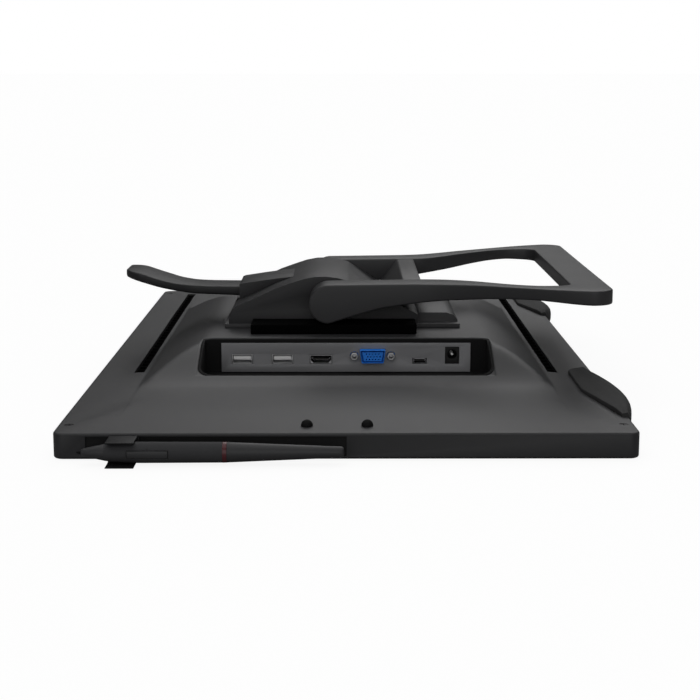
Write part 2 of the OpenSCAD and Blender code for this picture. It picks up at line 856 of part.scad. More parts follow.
// Cradle that holds the pen on the side wall
module pen_cradle() {
    mouth = pen_r + cradle_gap;
    color([0.05, 0.05, 0.05])
        difference() {
            union() {
                block(
                    [cradle_x - cradle_hx, pen_y - 7.5, 0.2],
                    [cradle_x + cradle_hx, -hy, pen_z + mouth + 0.8]
                );
                block(
                    [cradle_x - cradle_hx, pen_y - 10, 0.2],
                    [cradle_x + cradle_hx, pen_y - 7, pen_z - mouth]
                );
                block([cradle_x - 3.9, -hy - 1, pen_z - 2.9], [cradle_x + 3.9, -hy + wall, pen_z + 2.9]);
            }
            translate([cradle_x - 20, pen_y, pen_z])
                rotate([0, 90, 0])
                    cylinder(r = mouth, h = 40);
            block([cradle_x - 20, pen_y - 20, pen_z - mouth], [cradle_x + 20, pen_y, pen_z + mouth]);
        }
}

// Circuit strip behind a row of keys
module key_board(s) {
    color([0.05, 0.22, 0.12])
        difference() {
            translate([0, s * strip_y, 0])
                block(
                    [-key_board_hx, -key_board_hy, key_board_z],
                    [key_board_hx, key_board_hy, key_board_z + 1.2]
                );
            post(0, s * strip_y, dial_stem_r + 1.2, 0, 60);
        }
}

// Circuit strips behind both rows of keys
module key_boards() {
    for (s = [-1, 1])
        key_board(s);
}

// Rotary encoder behind a dial
module encoder(s) {
    color([0.25, 0.25, 0.27])
        difference() {
            translate([0, s * strip_y, 0])
                block([-7, -7, key_board_z + 1.2], [7, 7, key_board_z + 5]);
            post(0, s * strip_y, dial_stem_r + shaft_gap, 0, key_board_z + 4.2);
        }
}

// Encoders behind both dials
module encoders() {
    for (s = [-1, 1])
        encoder(s);
}

// Dial that turns in the front face
module dial(s) {
    color([0.16, 0.03, 0.03])
        difference() {
            union() {
                post(0, s * strip_y, dial_r, 0.4, front_t + 0.2);
                post(0, s * strip_y, dial_r + dial_rim, front_t + 0.1, front_t + 1.1);
                post(0, s * strip_y, dial_stem_r, front_t, key_board_z + 4);
            }
            post(0, s * strip_y, dial_r - 5, -1, 1.4);
            for (a = [0 : 30 : 330])
                translate([0, s * strip_y, 0])
                    rotate(a)
                        translate([dial_r - 2.5, 0, -1])
                            cylinder(r = 0.8, h = 1.9);
        }
}

// Dial on the port side
module dial_near() {
    dial(-1);
}

// Dial on the far side
module dial_far() {
    dial(1);
}

// One key of the front face, with the flange that keeps it in
module key_cap(x, y) {
    color([0.06, 0.06, 0.065])
        translate([x, y, 0])
            union() {
                slab(key_hx, key_hy, 2, 0.5, front_t + 0.2);
                slab(key_hx + 1.4, key_hy + 1.4, 2, front_t + 0.05, front_t + 1);
                post(0, 0, 1.5, front_t, key_board_z - key_travel - 0.1);
            }
}

// Key 1 of the row on the port side, counted from the top edge
module key_near_1() {
    key_cap(key_xs[0], -strip_y);
}

// Key 2 of the row on the port side, counted from the top edge
module key_near_2() {
    key_cap(key_xs[1], -strip_y);
}

// Key 3 of the row on the port side, counted from the top edge
module key_near_3() {
    key_cap(key_xs[2], -strip_y);
}

// Key 4 of the row on the port side, counted from the top edge
module key_near_4() {
    key_cap(key_xs[3], -strip_y);
}

// Key 1 of the row on the far side, counted from the top edge
module key_far_1() {
    key_cap(key_xs[0], strip_y);
}

// Key 2 of the row on the far side, counted from the top edge
module key_far_2() {
    key_cap(key_xs[1], strip_y);
}

// Key 3 of the row on the far side, counted from the top edge
module key_far_3() {
    key_cap(key_xs[2], strip_y);
}

// Key 4 of the row on the far side, counted from the top edge
module key_far_4() {
    key_cap(key_xs[3], strip_y);
}

// Power button in the top edge
module power_button() {
    color([0.06, 0.06, 0.065])
        translate([0, power_y, power_z])
            union() {
                block([-hx - 0.6, -power_hy, -power_hz], [-hx + wall + 0.3, power_hy, power_hz]);
                block(
                    [-hx + wall + 0.05, -power_hy - 1.2, -power_hz - 1.2],
                    [-hx + wall + 1, power_hy + 1.2, power_hz + 1.2]
                );
                block([-hx + wall, -1, -1], [-hx + wall + 1.4, 1, 1]);
            }
}

// Switch behind the power button
module power_switch() {
    color([0.30, 0.30, 0.32])
        block(
            [-hx + wall + switch_gap, power_y - 4, front_t],
            [-hx + wall + switch_gap + switch_t, power_y + 4, power_z + 3.4]
        );
}

// Base of the stand on the flat top, with its raised right end
module stand_base() {
    color([0.13, 0.13, 0.135])
        difference() {
            union() {
                block([base_x0, -hub_hy, top_z], [base_x1, hub_hy, base_z]);
                prism_y(
                    [
                        [51.3, base_z - eps], [51.3, top_z + 8.4], [53, top_z + 9.4],
                        [base_x1 - 9, top_z + 9.4], [base_x1 - 4, top_z + 7.6], [base_x1 - 1, top_z + 4],
                        [base_x1 - 1, base_z - eps]
                    ],
                    -48, 48
                );
            }
            for (sx = [-1, 1], sy = [-1, 1]) {
                post(sx * stand_pitch / 2, sy * stand_pitch / 2, 2.3, 0, 60);
                translate([sx * stand_pitch / 2, sy * stand_pitch / 2, base_z - 2.2])
                    cylinder(r1 = 2.3, r2 = 4.5, h = 2.2);
                post(sx * stand_pitch / 2, sy * stand_pitch / 2, 4.5, base_z, 60);
            }
        }
}

// Four countersunk screws that hold the stand
module base_screws() {
    color([0.55, 0.56, 0.58])
        for (sx = [-1, 1], sy = [-1, 1])
            translate([sx * stand_pitch / 2, sy * stand_pitch / 2, 0])
                difference() {
                    union() {
                        translate([0, 0, base_z - 2.2])
                            cylinder(r1 = 2.2, r2 = 4.2, h = 2);
                        post(0, 0, 1.95, shield_z1 + 8, base_z - 1.5);
                    }
                    translate([0, 0, base_z - 1.4])
                        cylinder(r = 1.45, h = 3, $fn = 6);
                }
}

// Black beds under the two arms
module hinge_beds() {
    color([0.015, 0.015, 0.015])
        for (s = [-1, 1])
            translate([0, s * (hub_hy + arm_out - 1.5) / 2, 0])
                block(
                    [bed_x0, -(arm_out - 1.5 - hub_hy) / 2, top_z],
                    [bed_x1, (arm_out - 1.5 - hub_hy) / 2, pivot_z - arm_r - 0.7]
                );
}

// Hollow hub that carries the hinge
module hub_shell() {
    color([0.11, 0.11, 0.115])
        difference() {
            union() {
                difference() {
                    prism_y(hub_line, -hub_hy, hub_hy);
                    prism_y(hub_hollow, -hub_hy + 4, hub_hy - 4);
                }
                for (s = [-1, 1])
                    translate([0, s * (hub_hy - 6), 0])
                        rod_y(pivot_x, pivot_z, 12, -6, 6);
                for (s = [-1, 1])
                    translate([0, s * (cheek_y + 2.7), 0])
                        prism_y(
                            [[-70, base_z], [-70, top_z + 16.5], [-48, top_z + 25.2], [-48, base_z]],
                            -2.7, 2.7
                        );
            }
            rod_y(pivot_x, pivot_z, bush_r, -200, 200);
            rod_y(lever_x, lever_z, lever_pin_r, -cheek_y - 5.4, cheek_y + 5.4);
            block([-100, -cheek_y, top_z + 12], [-44, cheek_y, top_z + 60]);
        }
}

// Cover over the root of the lever
module lever_housing() {
    color([0.11, 0.11, 0.115])
        difference() {
            prism_y(
                [
                    [-77.5, top_z + 12], [-77.5, top_z + 26.2], [-75.5, top_z + 27], [-59, top_z + 29.5],
                    [-48.5, top_z + 30.9], [-38, top_z + 32], [-36, top_z + 31]
                ],
                -cheek_y - 2.9, cheek_y + 2.9
            );
            prism_y(hub_line, -hub_hy, hub_hy);
            prism_y(
                [[-90, top_z], [-90, top_z + 22.7], [-47, top_z + 29.2], [-47, top_z]],
                -cheek_y, cheek_y
            );
        }
}

// Flanged bushes that carry the hinge shaft
module bushes() {
    flange_h = (arm_in - 0.1 - hub_hy) / 2;
    color([0.72, 0.55, 0.28])
        for (s = [-1, 1])
            difference() {
                union() {
                    translate([0, s * (hub_hy - 6), 0])
                        rod_y(pivot_x, pivot_z, bush_r, -6, 6);
                    translate([0, s * (hub_hy + arm_in - 0.1) / 2, 0])
                        rod_y(pivot_x, pivot_z, bush_r + 2, -flange_h, flange_h);
                }
                rod_y(pivot_x, pivot_z, shaft_r + shaft_gap, -200, 200);
            }
}

// Hinge shaft that turns with the leg
module hinge_shaft() {
    color([0.70, 0.71, 0.73])
        rod_y(pivot_x, pivot_z, shaft_r, -shaft_hy, shaft_hy);
}

// Drum on the shaft that the brake acts on
module brake_drum() {
    color([0.62, 0.63, 0.65])
        difference() {
            rod_y(pivot_x, pivot_z, drum_r, -9, 9);
            rod_y(pivot_x, pivot_z, shaft_r, -20, 20);
        }
}

// Plan of the loop: half widths from x0 on, ending at x1 with corners of radius r
module loop_plan(outer, x0, x1, r) {
    steps = 16;
    xs = [for (i = [0 : steps]) x0 + (x1 - r - x0) * i / steps];
    hs = [for (x = xs) outer ? loop_outer(x) : loop_inner(x)];
    end_h = hs[steps];
    union() {
        polygon(concat(
            [for (i = [0 : steps]) [xs[i], -hs[i]]],
            [for (i = [steps : -1 : 0]) [xs[i], hs[i]]]
        ));
        translate([x1 - r - 1, -end_h + r])
            square([r + 1, 2 * end_h - 2 * r]);
        for (s = [-1, 1])
            translate([x1 - r, s * (end_h - r)])
                circle(r);
    }
}

// Leg: two arms, the web between them and the end bar, in one loop
module leg_frame() {
    color([0.14, 0.14, 0.145])
        difference() {
            intersection() {
                union() {
                    prism_y(leg_line, -loop_out - 5, loop_out + 5);
                    rod_y(pivot_x, pivot_z, arm_r, -loop_out - 5, loop_out + 5);
                }
                linear_extrude(200)
                    loop_plan(true, pivot_x - arm_r - 2, loop_end, 14);
            }
            linear_extrude(200)
                loop_plan(false, web_x, bar_in, 9);
            prism_y(
                [[-60, 0], [26.8, 0], [26.8, leg_top - 16.2], [40, leg_top + 0.4], [45, 200], [-60, 200]],
                -arm_in, arm_in
            );
            rod_y(pivot_x, pivot_z, shaft_r, -shaft_hy, shaft_hy);
            block([loop_end - 1, -90, leg_top - 3], [loop_end + 5, 90, leg_top + 0.8]);
        }
}

// Rubber strip on the end of the leg
module leg_pad() {
    color([0.03, 0.03, 0.03])
        block([loop_end - 1, -90, leg_top - 3], [loop_end + 1.2, 90, leg_top + 0.8]);
}

// Plan of the lever: a straight stem that widens to a paddle with round corners
module paddle_plan() {
    steps = 12;
    x0 = lever_x + 5;
    xs = [for (i = [0 : steps]) x0 + (tip_r - tip_x - x0) * i / steps];
    polygon(concat(
        [for (x = xs) [x, -paddle_half(x)]],
        [for (i = [steps : -1 : 0]) [xs[i], paddle_half(xs[i])]]
    ));
    translate([-tip_x, tip_r - tip_hy])
        square([tip_r + 1, 2 * tip_hy - 2 * tip_r]);
    for (s = [-1, 1])
        translate([tip_r - tip_x, s * (tip_hy - tip_r)])
            circle(tip_r);
}

// Release lever with its barrel and the arm that carries the brake shoe
module release_lever() {
    color([0.14, 0.14, 0.145])
        difference() {
            union() {
                intersection() {
                    prism_y(paddle_line, -30, 30);
                    linear_extrude(200)
                        paddle_plan();
                }
                rod_y(lever_x, lever_z, 5.2, -lever_hy, lever_hy);
                prism_y(
                    [
                        [lever_x, lever_z - 4.6], [-52, top_z + 14.8], [-26, top_z + 20.7],
                        [-17, top_z + 24], [-15, top_z + 27], [-17, top_z + 29.2], [-22, top_z + 28.6],
                        [-30, top_z + 27], [-52, top_z + 23.6], [lever_x, lever_z + 4.6]
                    ],
                    -10, 10
                );
            }
            rod_y(lever_x, lever_z, lever_pin_r + shaft_gap, -40, 40);
            rod_y(pivot_x, pivot_z, shoe_r, -40, 40);
        }
}

// Pin of the lever
module lever_pin() {
    color([0.70, 0.71, 0.73])
        rod_y(lever_x, lever_z, lever_pin_r, -cheek_y - 5.4, cheek_y + 5.4);
}

// Brake shoe on the lever's inner end
module brake_shoe() {
    color([0.30, 0.16, 0.09])
        intersection() {
            difference() {
                rod_y(pivot_x, pivot_z, shoe_r, -9, 9);
                rod_y(pivot_x, pivot_z, drum_r + shoe_gap, -20, 20);
            }
            prism_y(
                [
                    [pivot_x, pivot_z], [pivot_x - 30 * cos(15), pivot_z + 30 * sin(15)],
                    [pivot_x - 30 * cos(65), pivot_z + 30 * sin(65)]
                ],
                -20, 20
            );
        }
}

// Return spring under the lever, wound as one wire
module lever_spring() {
    turns = 5;
    per = 12;
    sides = 6;
    wire = 0.6;
    coil = 4;
    z0 = base_z + wire;
    z1 = top_z + 15.8 - wire;
    count = turns * per;
    points = [
        for (i = [0 : count], k = [0 : sides - 1])
            [
                -71 + (coil + wire * cos(360 * k / sides)) * cos(360 * i / per),
                (coil + wire * cos(360 * k / sides)) * sin(360 * i / per),
                z0 + (z1 - z0) * i / count + wire * sin(360 * k / sides)
            ]
    ];
    skin = [
        for (i = [0 : count - 1], k = [0 : sides - 1])
            each [
                [i * sides + k, i * sides + (k + 1) % sides, (i + 1) * sides + k],
                [i * sides + (k + 1) % sides, (i + 1) * sides + (k + 1) % sides, (i + 1) * sides + k]
            ]
    ];
    first = [for (k = [1 : sides - 2]) [0, k + 1, k]];
    last = [for (k = [1 : sides - 2]) [count * sides, count * sides + k, count * sides + k + 1]];
    color([0.75, 0.76, 0.78])
        polyhedron(points, concat(skin, first, last));
}

// Soft front part of the pen with the pocket for its switch
module pen_grip() {
    color([0.05, 0.05, 0.055])
        difference() {
            turned([
                [pen_nose, 2.5], [pen_nose, pen_r - 1.3], [20, pen_r - 0.7], [28, pen_r - 0.2],
                [35, pen_r], [50, pen_r - 0.05], [ring_at, pen_r - 0.2], [ring_at, 2.5]
            ]);
            block([switch_x - 11.75, pen_y - 8, pen_z - 2.3], [switch_x + 11.75, pen_y - 3, pen_z + 2.3]);
            post(switch_x, pen_y - 4.6, 0.75, pen_z - 3.1, pen_z + 3.1);
        }
}

// Rear part of the pen
module pen_barrel() {
    color([0.07, 0.07, 0.075])
        turned([
            [ring_at + ring_w, 2.5], [ring_at + ring_w, pen_r - 0.25], [126, pen_r - 1.95],
            [pen_len - 1.2, pen_r - 2.85], [pen_len - 0.3, pen_r - 3.3], [pen_len, pen_r - 4.2],
            [pen_len, 0], [core_end, 0], [core_end, 2.5]
        ]);
}

// Coloured ring between the two parts of the pen
module pen_ring() {
    color([0.30, 0.05, 0.05])
        turned([
            [ring_at, 2.5], [ring_at, pen_r - 0.15],
            [ring_at + ring_w, pen_r - 0.2], [ring_at + ring_w, 2.5]
        ]);
}

// Nose of the pen
module pen_cone() {
    color([0.16, 0.16, 0.165])
        turned([
            [2.6, 1], [2.6, 1.7], [4, 2.3], [pen_nose, pen_r - 1.35], [pen_nose, 2.5],
            [pen_nose - 2.5, 2.5], [pen_nose - 2.5, 1]
        ]);
}

// Coil and circuit inside the pen
module pen_core() {
    color([0.45, 0.28, 0.14])
        turned([[pen_nose - 0.5, 0], [pen_nose - 0.5, 2.45], [core_end, 2.45], [core_end, 0]]);
}

// Nib that gives way when it is pressed
module pen_nib() {
    color([0.03, 0.03, 0.03])
        turned([[0, 0], [0, 0.25], [0.5, 0.65], [1.6, 0.92], [13.5, 0.92], [13.5, 0]]);
}

// Rocking switch on the pen
module pen_switch() {
    color([0.09, 0.09, 0.095])
        union() {
            intersection() {
                block([switch_x - 11.4, pen_y - 7, pen_z - 2], [switch_x + 11.4, pen_y - 3.7, pen_z + 2]);
                translate([switch_x - 20, pen_y, pen_z])
                    rotate([0, 90, 0])
                        cylinder(r = pen_r + 0.35, h = 40);
            }
            post(switch_x, pen_y - 4.6, 0.7, pen_z - 2.9, pen_z + 2.9);
        }
}

front_frame();
cover_glass();
screen_panel();
backlight();
pen_sensor();
shield_plate();
back_cover();
port_bay();
port_plate();
main_board();
data_port_1();
data_port_2();
picture_port();
video_shell();
video_insert();
video_studs();
oval_port();
power_jack();
vent_top();
vent_bottom();
case_screws();
slope_plugs();
foot_near();
foot_far();
pen_cradle();
key_boards();
encoders();
power_switch();
stand_base();
base_screws();
hinge_beds();
hub_shell();
lever_housing();
bushes();
lever_spring();
leg_frame();
hinge_shaft();
brake_drum();
leg_pad();
release_lever();
lever_pin();
brake_shoe();
pen_grip();
pen_barrel();
pen_ring();
pen_cone();
pen_core();
pen_nib();
pen_switch();
dial_near();
dial_far();
power_button();
key_near_1();
key_near_2();
key_near_3();
key_near_4();
key_far_1();
key_far_2();
key_far_3();
key_far_4();
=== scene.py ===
"""Pen display lying face down on its screen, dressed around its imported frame."""

import math

import bpy
import numpy as np
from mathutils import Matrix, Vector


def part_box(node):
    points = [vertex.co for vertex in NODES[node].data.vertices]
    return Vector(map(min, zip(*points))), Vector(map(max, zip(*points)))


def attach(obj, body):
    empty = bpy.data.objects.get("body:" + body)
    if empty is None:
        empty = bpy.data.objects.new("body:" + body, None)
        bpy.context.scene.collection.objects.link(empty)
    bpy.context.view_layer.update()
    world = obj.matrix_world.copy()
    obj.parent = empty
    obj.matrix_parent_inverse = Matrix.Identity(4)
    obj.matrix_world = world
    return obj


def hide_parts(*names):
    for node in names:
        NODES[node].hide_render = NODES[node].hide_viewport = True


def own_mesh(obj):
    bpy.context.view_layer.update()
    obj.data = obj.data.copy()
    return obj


bl_info = {
    "name": "Pen Display",
    "version": (1, 0, 0),
    "blender": (4, 5, 0),
    "location": "3D View > Sidebar > Pen Display",
    "description": "Builds the visible skin, the finishes and the stage of a pen display",
    "category": "Object",
}

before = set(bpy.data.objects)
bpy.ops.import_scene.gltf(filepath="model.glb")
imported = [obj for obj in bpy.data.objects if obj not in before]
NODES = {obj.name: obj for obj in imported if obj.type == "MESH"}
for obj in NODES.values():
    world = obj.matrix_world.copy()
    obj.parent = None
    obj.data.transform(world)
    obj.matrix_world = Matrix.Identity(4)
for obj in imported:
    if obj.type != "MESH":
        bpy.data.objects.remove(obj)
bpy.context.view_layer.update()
FRAME_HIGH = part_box("front_frame")[1]
COVER_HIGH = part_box("back_cover")[1]
BAY_LOW, BAY_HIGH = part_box("port_bay")
LEG_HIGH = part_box("leg_frame")[1]
LEVER_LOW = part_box("release_lever")[0]
MM = 0.001
PHOTO_SIZE = 700  # pixels along each side of the photograph
GRAIN_DEPTH = 0.00004  # depth of the grain of moulded and painted surfaces
MIX_A, MIX_B, MIX_RESULT = 6, 7, 2  # colour sockets of a Mix node
SOFT_FOOT = 0.0009  # width of the soft join at the foot of the hill
SOFT_CREASE = 0.0010  # width of the soft join between the hill's sides and its ends
COVER_EDGE = 0.0009  # rounding of the cover's outer edge and of the bay's edge
LINE_SPREAD = 0.014  # width over which the stand's height lines are softened
TINY = 1e-5


def length_prop(name, note, default, low=0.0, high=1.0):
    """A length in metres that the sidebar shows."""
    return bpy.props.FloatProperty(
        name=name, description=note, default=default, min=low, max=high, unit="LENGTH", precision=5
    )


def colour_prop(name, note, default):
    """A linear colour that the sidebar shows."""
    return bpy.props.FloatVectorProperty(
        name=name, description=note, default=default, size=3, min=0.0, max=1.0, subtype="COLOR"
    )


def level_prop(name, note, default):
    """A strength that the sidebar shows."""
    return bpy.props.FloatProperty(name=name, description=note, default=default, min=0.0)


def angle_prop(name, note, degrees):
    """An angle that the sidebar shows."""
    return bpy.props.FloatProperty(
        name=name, description=note, default=math.radians(degrees), subtype="ANGLE"
    )


class PenDisplaySizes(bpy.types.PropertyGroup):
    """Sizes of the pieces that are worked out here."""

    rim_z: length_prop("Rim height", "Height of the back cover at its edge", 0.0153)
    foot_z: length_prop("Hill foot", "Height of the cover where the hill starts", 0.0177)
    top_z: length_prop("Hill top", "Height of the flat top of the back", COVER_HIGH.z)
    hill_top_x: length_prop("Flat half width", "Half width of the flat top", 0.088)
    hill_foot_x: length_prop("Foot half width", "Half width of the foot of the hill", 0.133)
    hill_top_y: length_prop("Flat half length", "Half length of the flat top", 0.097)
    hill_foot_y: length_prop("Foot half length", "Half length of the foot of the hill", 0.172)
    belly: length_prop("End belly", "Swell of the gentle slopes at the two ends", 0.0009)
    corner_r: length_prop("Corner radius", "Radius of the case's corners", 0.006)
    seam_z: length_prop("Seam height", "Height of the seam under the cover", 0.01425)
    cover_t: length_prop("Cover thickness", "Thickness of the back cover", 0.002)
    bay_r: length_prop("Bay corner radius", "Rounding of the near corners of the port bay", 0.010)
    grid_step: length_prop("Cover grid", "Spacing of the cover's grid lines", 0.0034, 0.001, 0.02)
    pivot_x: length_prop("Hinge place", "Hinge axis across the short side", -0.012, -1.0, 1.0)
    pivot_z: length_prop("Hinge height", "Height of the hinge axis", 0.0585)
    arm_r: length_prop("Arm end radius", "Radius of the rounded end of the arms", 0.0135)
    arm_edge: length_prop("Arm edge", "Rounding of the leg's long edges", 0.0013)
    lever_edge: length_prop("Lever edge", "Rounding of the lever's edges", 0.0018)
    foot_edge: length_prop("Foot edge", "How far a rubber foot reaches over the cover", 0.018)


class PenDisplayColours(bpy.types.PropertyGroup):
    """Linear colours of the finishes."""

    shell: colour_prop("Shell", "Moulded back of the case", (0.040, 0.040, 0.042))
    wall: colour_prop("Wall", "Side walls of the front frame", (0.027, 0.027, 0.029))
    metal: colour_prop("Stand", "Painted leg and lever", (0.041, 0.041, 0.043))
    # also painted shade: inside the pen slot, on the shield plate behind the vents and, darker, on the
    # vents and hinge beds
    recess: colour_prop("Recess", "Black inner surfaces", (0.004, 0.004, 0.0042))
    plate: colour_prop("Port plate", "Plate round the sockets", (0.24, 0.24, 0.25))
    rubber: colour_prop("Rubber", "Feet and pads", (0.034, 0.034, 0.0345))
    pen: colour_prop("Pen", "Pen body", (0.035, 0.035, 0.037))
    ring: colour_prop("Pen ring", "Coloured ring of the pen", (0.095, 0.016, 0.020))
    video: colour_prop("Video socket", "Insert of the video socket", (0.009, 0.22, 0.85))


class PenDisplayStage(bpy.types.PropertyGroup):
    """Camera and light."""

    camera_x: length_prop("Camera X", "Camera place", -0.0018, -10.0, 10.0)
    camera_y: length_prop("Camera Y", "Camera place", -1.1411, -10.0, 10.0)
    camera_z: length_prop("Camera Z", "Camera place", 0.2192, -10.0, 10.0)
    pitch: angle_prop("Pitch", "Camera's angle below the horizon", 10.33)
    yaw: angle_prop("Yaw", "Camera's turn to the right", 0.25)
    focal_px: level_prop("Focal length", "Focal length in pixels of the photograph's frame", 1547.8)
    back_light: level_prop("Back light", "Strength of the soft sun behind and above", 0.44)
    top_light: level_prop("Top light", "Strength of the wide light overhead", 0.7)
    front_light: level_prop("Front light", "Strength of the light from the camera's side", 0.62)
    sky: level_prop("Sky", "Strength of the surroundings as light", 0.22)
    mirror: level_prop("Mirror", "Strength of the surroundings in reflections", 0.05)
    floor_glow: level_prop("Floor glow", "Whiteness of the floor to the camera", 1.12)


# Shader maths


class Wire:
    """A number in a shader: sums written with it add Math nodes to its tree."""

    def __init__(self, tree, socket):
        self.tree = tree
        self.socket = socket

    def sum(self, operation, first, second):
        """The result of one Math node on two wires or numbers."""
        node = self.tree.nodes.new("ShaderNodeMath")
        node.operation = operation
        for slot, value in zip(node.inputs, (first, second)):
            if isinstance(value, Wire):
                self.tree.links.new(value.socket, slot)
            else:
                slot.default_value = value
        return Wire(self.tree, node.outputs[0])

    def __add__(self, other):
        return self.sum("ADD", self, other)

    def __radd__(self, other):
        return self.sum("ADD", other, self)

    def __sub__(self, other):
        return self.sum("SUBTRACT", self, other)

    def __rsub__(self, other):
        return self.sum("SUBTRACT", other, self)

    def __mul__(self, other):
        return self.sum("MULTIPLY", self, other)

    def __gt__(self, other):
        return self.sum("GREATER_THAN", self, other)

    def __lt__(self, other):
        return self.sum("LESS_THAN", self, other)


class Finish:
    """One material: its tree, its main shader, and one method that makes any other node."""

    def __init__(self, name):
        self.material = bpy.data.materials.new(name)
        self.material.use_nodes = True
        self.tree = self.material.node_tree
        self.main = self.tree.nodes["Principled BSDF"]
        self.place = self.node("ShaderNodeTexCoord", out="Object")

    def node(self, kind, settings=None, inputs=None, out=0):
        """A new node of that kind, settings first, then sockets; gives one of its outputs."""
        made = self.tree.nodes.new(kind)
        for key, value in (settings or {}).items():
            if key == "stops":
                fill_ramp(made.color_ramp, value)
            else:
                setattr(made, key, value)
        for key, value in (inputs or {}).items():
            self.join(value, made.inputs[key])
        return Wire(self.tree, made.outputs[out])

    def join(self, value, socket):
        """Puts a number, colour or wire on a socket."""
        if isinstance(value, Wire):
            self.tree.links.new(value.socket, socket)
        else:
            socket.default_value = value

    def set(self, **values):
        """Values or wires for the main shader, with spaces written as underscores."""
        for key, value in values.items():
            self.join(value, self.main.inputs[key.replace("_", " ")])
        return self.material

    def noise(self, scale, detail=2.0, rough=0.5):
        """Noise over the piece's own metres, from 0 to 1."""
        inputs = {"Vector": self.place, "Scale": scale, "Detail": detail, "Roughness": rough}
        return self.node("ShaderNodeTexNoise", {}, inputs)

    def axis(self, name):
        """One coordinate of the place on the piece, in metres."""
        return self.node("ShaderNodeSeparateXYZ", {}, {"Vector": self.place}, out=name)

    def apart(self, name):
        """Distance from the middle plane along one coordinate, in metres."""
        return self.node("ShaderNodeMath", {"operation": "ABSOLUTE"}, {0: self.axis(name)})

    def blend(self, factor, first, second):
        """Colour between two colours."""
        inputs = {"Factor": factor, MIX_A: rgba(first), MIX_B: rgba(second)}
        return self.node("ShaderNodeMix", {"data_type": "RGBA"}, inputs, out=MIX_RESULT)

    def bump(self, height, depth):
        """Normal from a height wire and its depth in metres."""
        return self.node("ShaderNodeBump", {}, {"Height": height, "Strength": 1.0, "Distance": depth})


def rgba(colour):
    """A colour with full cover, or the wire as it is."""
    return colour if isinstance(colour, Wire) else (*colour[:3], 1.0)


def fill_ramp(ramp, stops):
    """Sets a ramp's stops from pairs of place and grey."""
    while len(ramp.elements) > 1:
        ramp.elements.remove(ramp.elements[0])
    ramp.elements[0].position = stops[0][0]
    ramp.elements[0].color = (*[stops[0][1]] * 3, 1.0)
    for place, grey in stops[1:]:
        ramp.elements.new(place).color = (*[grey] * 3, 1.0)


def shade(colour, share):
    """A colour times a share."""
    return tuple(min(1.0, c * share) for c in colour[:3])


def moulded(name, colour, rough=0.46, grain=2600.0, shine=0.5):
    """Moulded plastic: fine spark-eroded grain, soft cloudiness and a little handling dust."""
    f = Finish(name)
    cloud = f.noise(9.0, 3.0)
    fine = f.noise(grain, 2.0, 0.6)
    specks = f.noise(160.0, 4.0, 0.7)
    dust = f.node("ShaderNodeValToRGB", {"stops": [(0.60, 0.0), (0.78, 1.0)]}, {"Fac": specks})
    worn = f.blend(cloud, shade(colour, 0.88), shade(colour, 1.12))
    tint = f.blend(dust * 0.10, worn, shade(colour, 2.2))
    return f.set(
        Base_Color=tint,
        Roughness=rough - 0.06 + cloud * 0.08 + fine * 0.06,
        Normal=f.bump(fine, GRAIN_DEPTH),
        Specular_IOR_Level=shine,
    )


def wall_with_painted_slot_shade(name, colour, inner):
    """Moulded wall with painted shade in its openings: what lies behind the outer faces takes the
    inner colour, near black and rougher, in place of the shadow inside the pen slot."""
    long_wall, short_wall, front = 0.0065, 0.0006, 0.0015  # how far behind each face that starts
    f = Finish(name)
    fine = f.noise(3000.0, 2.0, 0.6)
    cloud = f.noise(9.0, 3.0)
    across, along = f.apart("X"), f.apart("Y")
    # painted shade: inside the slot the colour turns near black and the surface duller
    inside = (across < FRAME_HIGH.x - long_wall) * (along < FRAME_HIGH.y - short_wall)
    inside = inside * (f.axis("Z") > front)
    return f.set(
        Base_Color=f.blend(inside, f.blend(cloud, shade(colour, 0.88), shade(colour, 1.12)), inner),
        Roughness=0.36 + cloud * 0.08 + fine * 0.06 + inside * 0.3,
        Normal=f.bump(fine, GRAIN_DEPTH),
    )


def painted(name, colour, shine):
    """Powder-painted metal: orange-peel waves under a fine grain."""
    f = Finish(name)
    peel = f.noise(420.0, 1.0)
    fine = f.noise(3200.0, 2.0, 0.6)
    cloud = f.noise(14.0, 3.0)
    return f.set(
        Base_Color=f.blend(cloud, shade(colour, 0.9), shade(colour, 1.1)),
        Roughness=0.38 + cloud * 0.08,
        Normal=f.bump(peel * 0.5 + fine * 0.5, GRAIN_DEPTH),
        Specular_IOR_Level=shine,
    )


def flat_black(name, colour, rough=0.75, shine=0.3):
    """Black moulded inner surface with a dull, even grain."""
    f = Finish(name)
    fine = f.noise(1800.0, 2.0)
    return f.set(
        Base_Color=f.blend(f.noise(30.0), shade(colour, 0.8), shade(colour, 1.2)),
        Roughness=rough + fine * 0.1,
        Normal=f.bump(fine, 0.00003),
        Specular_IOR_Level=shine,
    )


def soft_rubber(name, colour):
    """Rubber: dull, with fine pits and pale bloom."""
    f = Finish(name)
    pits = f.noise(2200.0, 3.0, 0.7)
    bloom = f.noise(40.0, 4.0, 0.6)
    return f.set(
        Base_Color=f.blend(bloom, shade(colour, 0.8), shade(colour, 1.35)),
        Roughness=0.72 + bloom * 0.12,
        Normal=f.bump(pits, 0.00005),
        Specular_IOR_Level=0.4,
    )


def plated(name, colour, rough):
    """Plated sheet metal with faint drawing lines along one way."""
    f = Finish(name)
    stretch = f.node("ShaderNodeMapping", {}, {"Vector": f.place, "Scale": (1.0, 30.0, 1.0)})
    lines = f.node("ShaderNodeTexNoise", {}, {"Vector": stretch, "Scale": 300.0, "Detail": 3.0})
    return f.set(
        Base_Color=f.blend(lines, shade(colour, 0.85), shade(colour, 1.1)),
        Metallic=1.0,
        Roughness=rough - 0.08 + lines * 0.16,
        Normal=f.bump(lines, 0.00001),
    )


def satin(name, colour, rough):
    """Satin plastic of the pen and the keys."""
    f = Finish(name)
    cloud = f.noise(60.0, 3.0)
    fine = f.noise(4000.0, 2.0)
    return f.set(
        Base_Color=f.blend(cloud, shade(colour, 0.9), shade(colour, 1.12)),
        Roughness=rough - 0.03 + cloud * 0.06,
        Normal=f.bump(fine, 0.00002),
    )


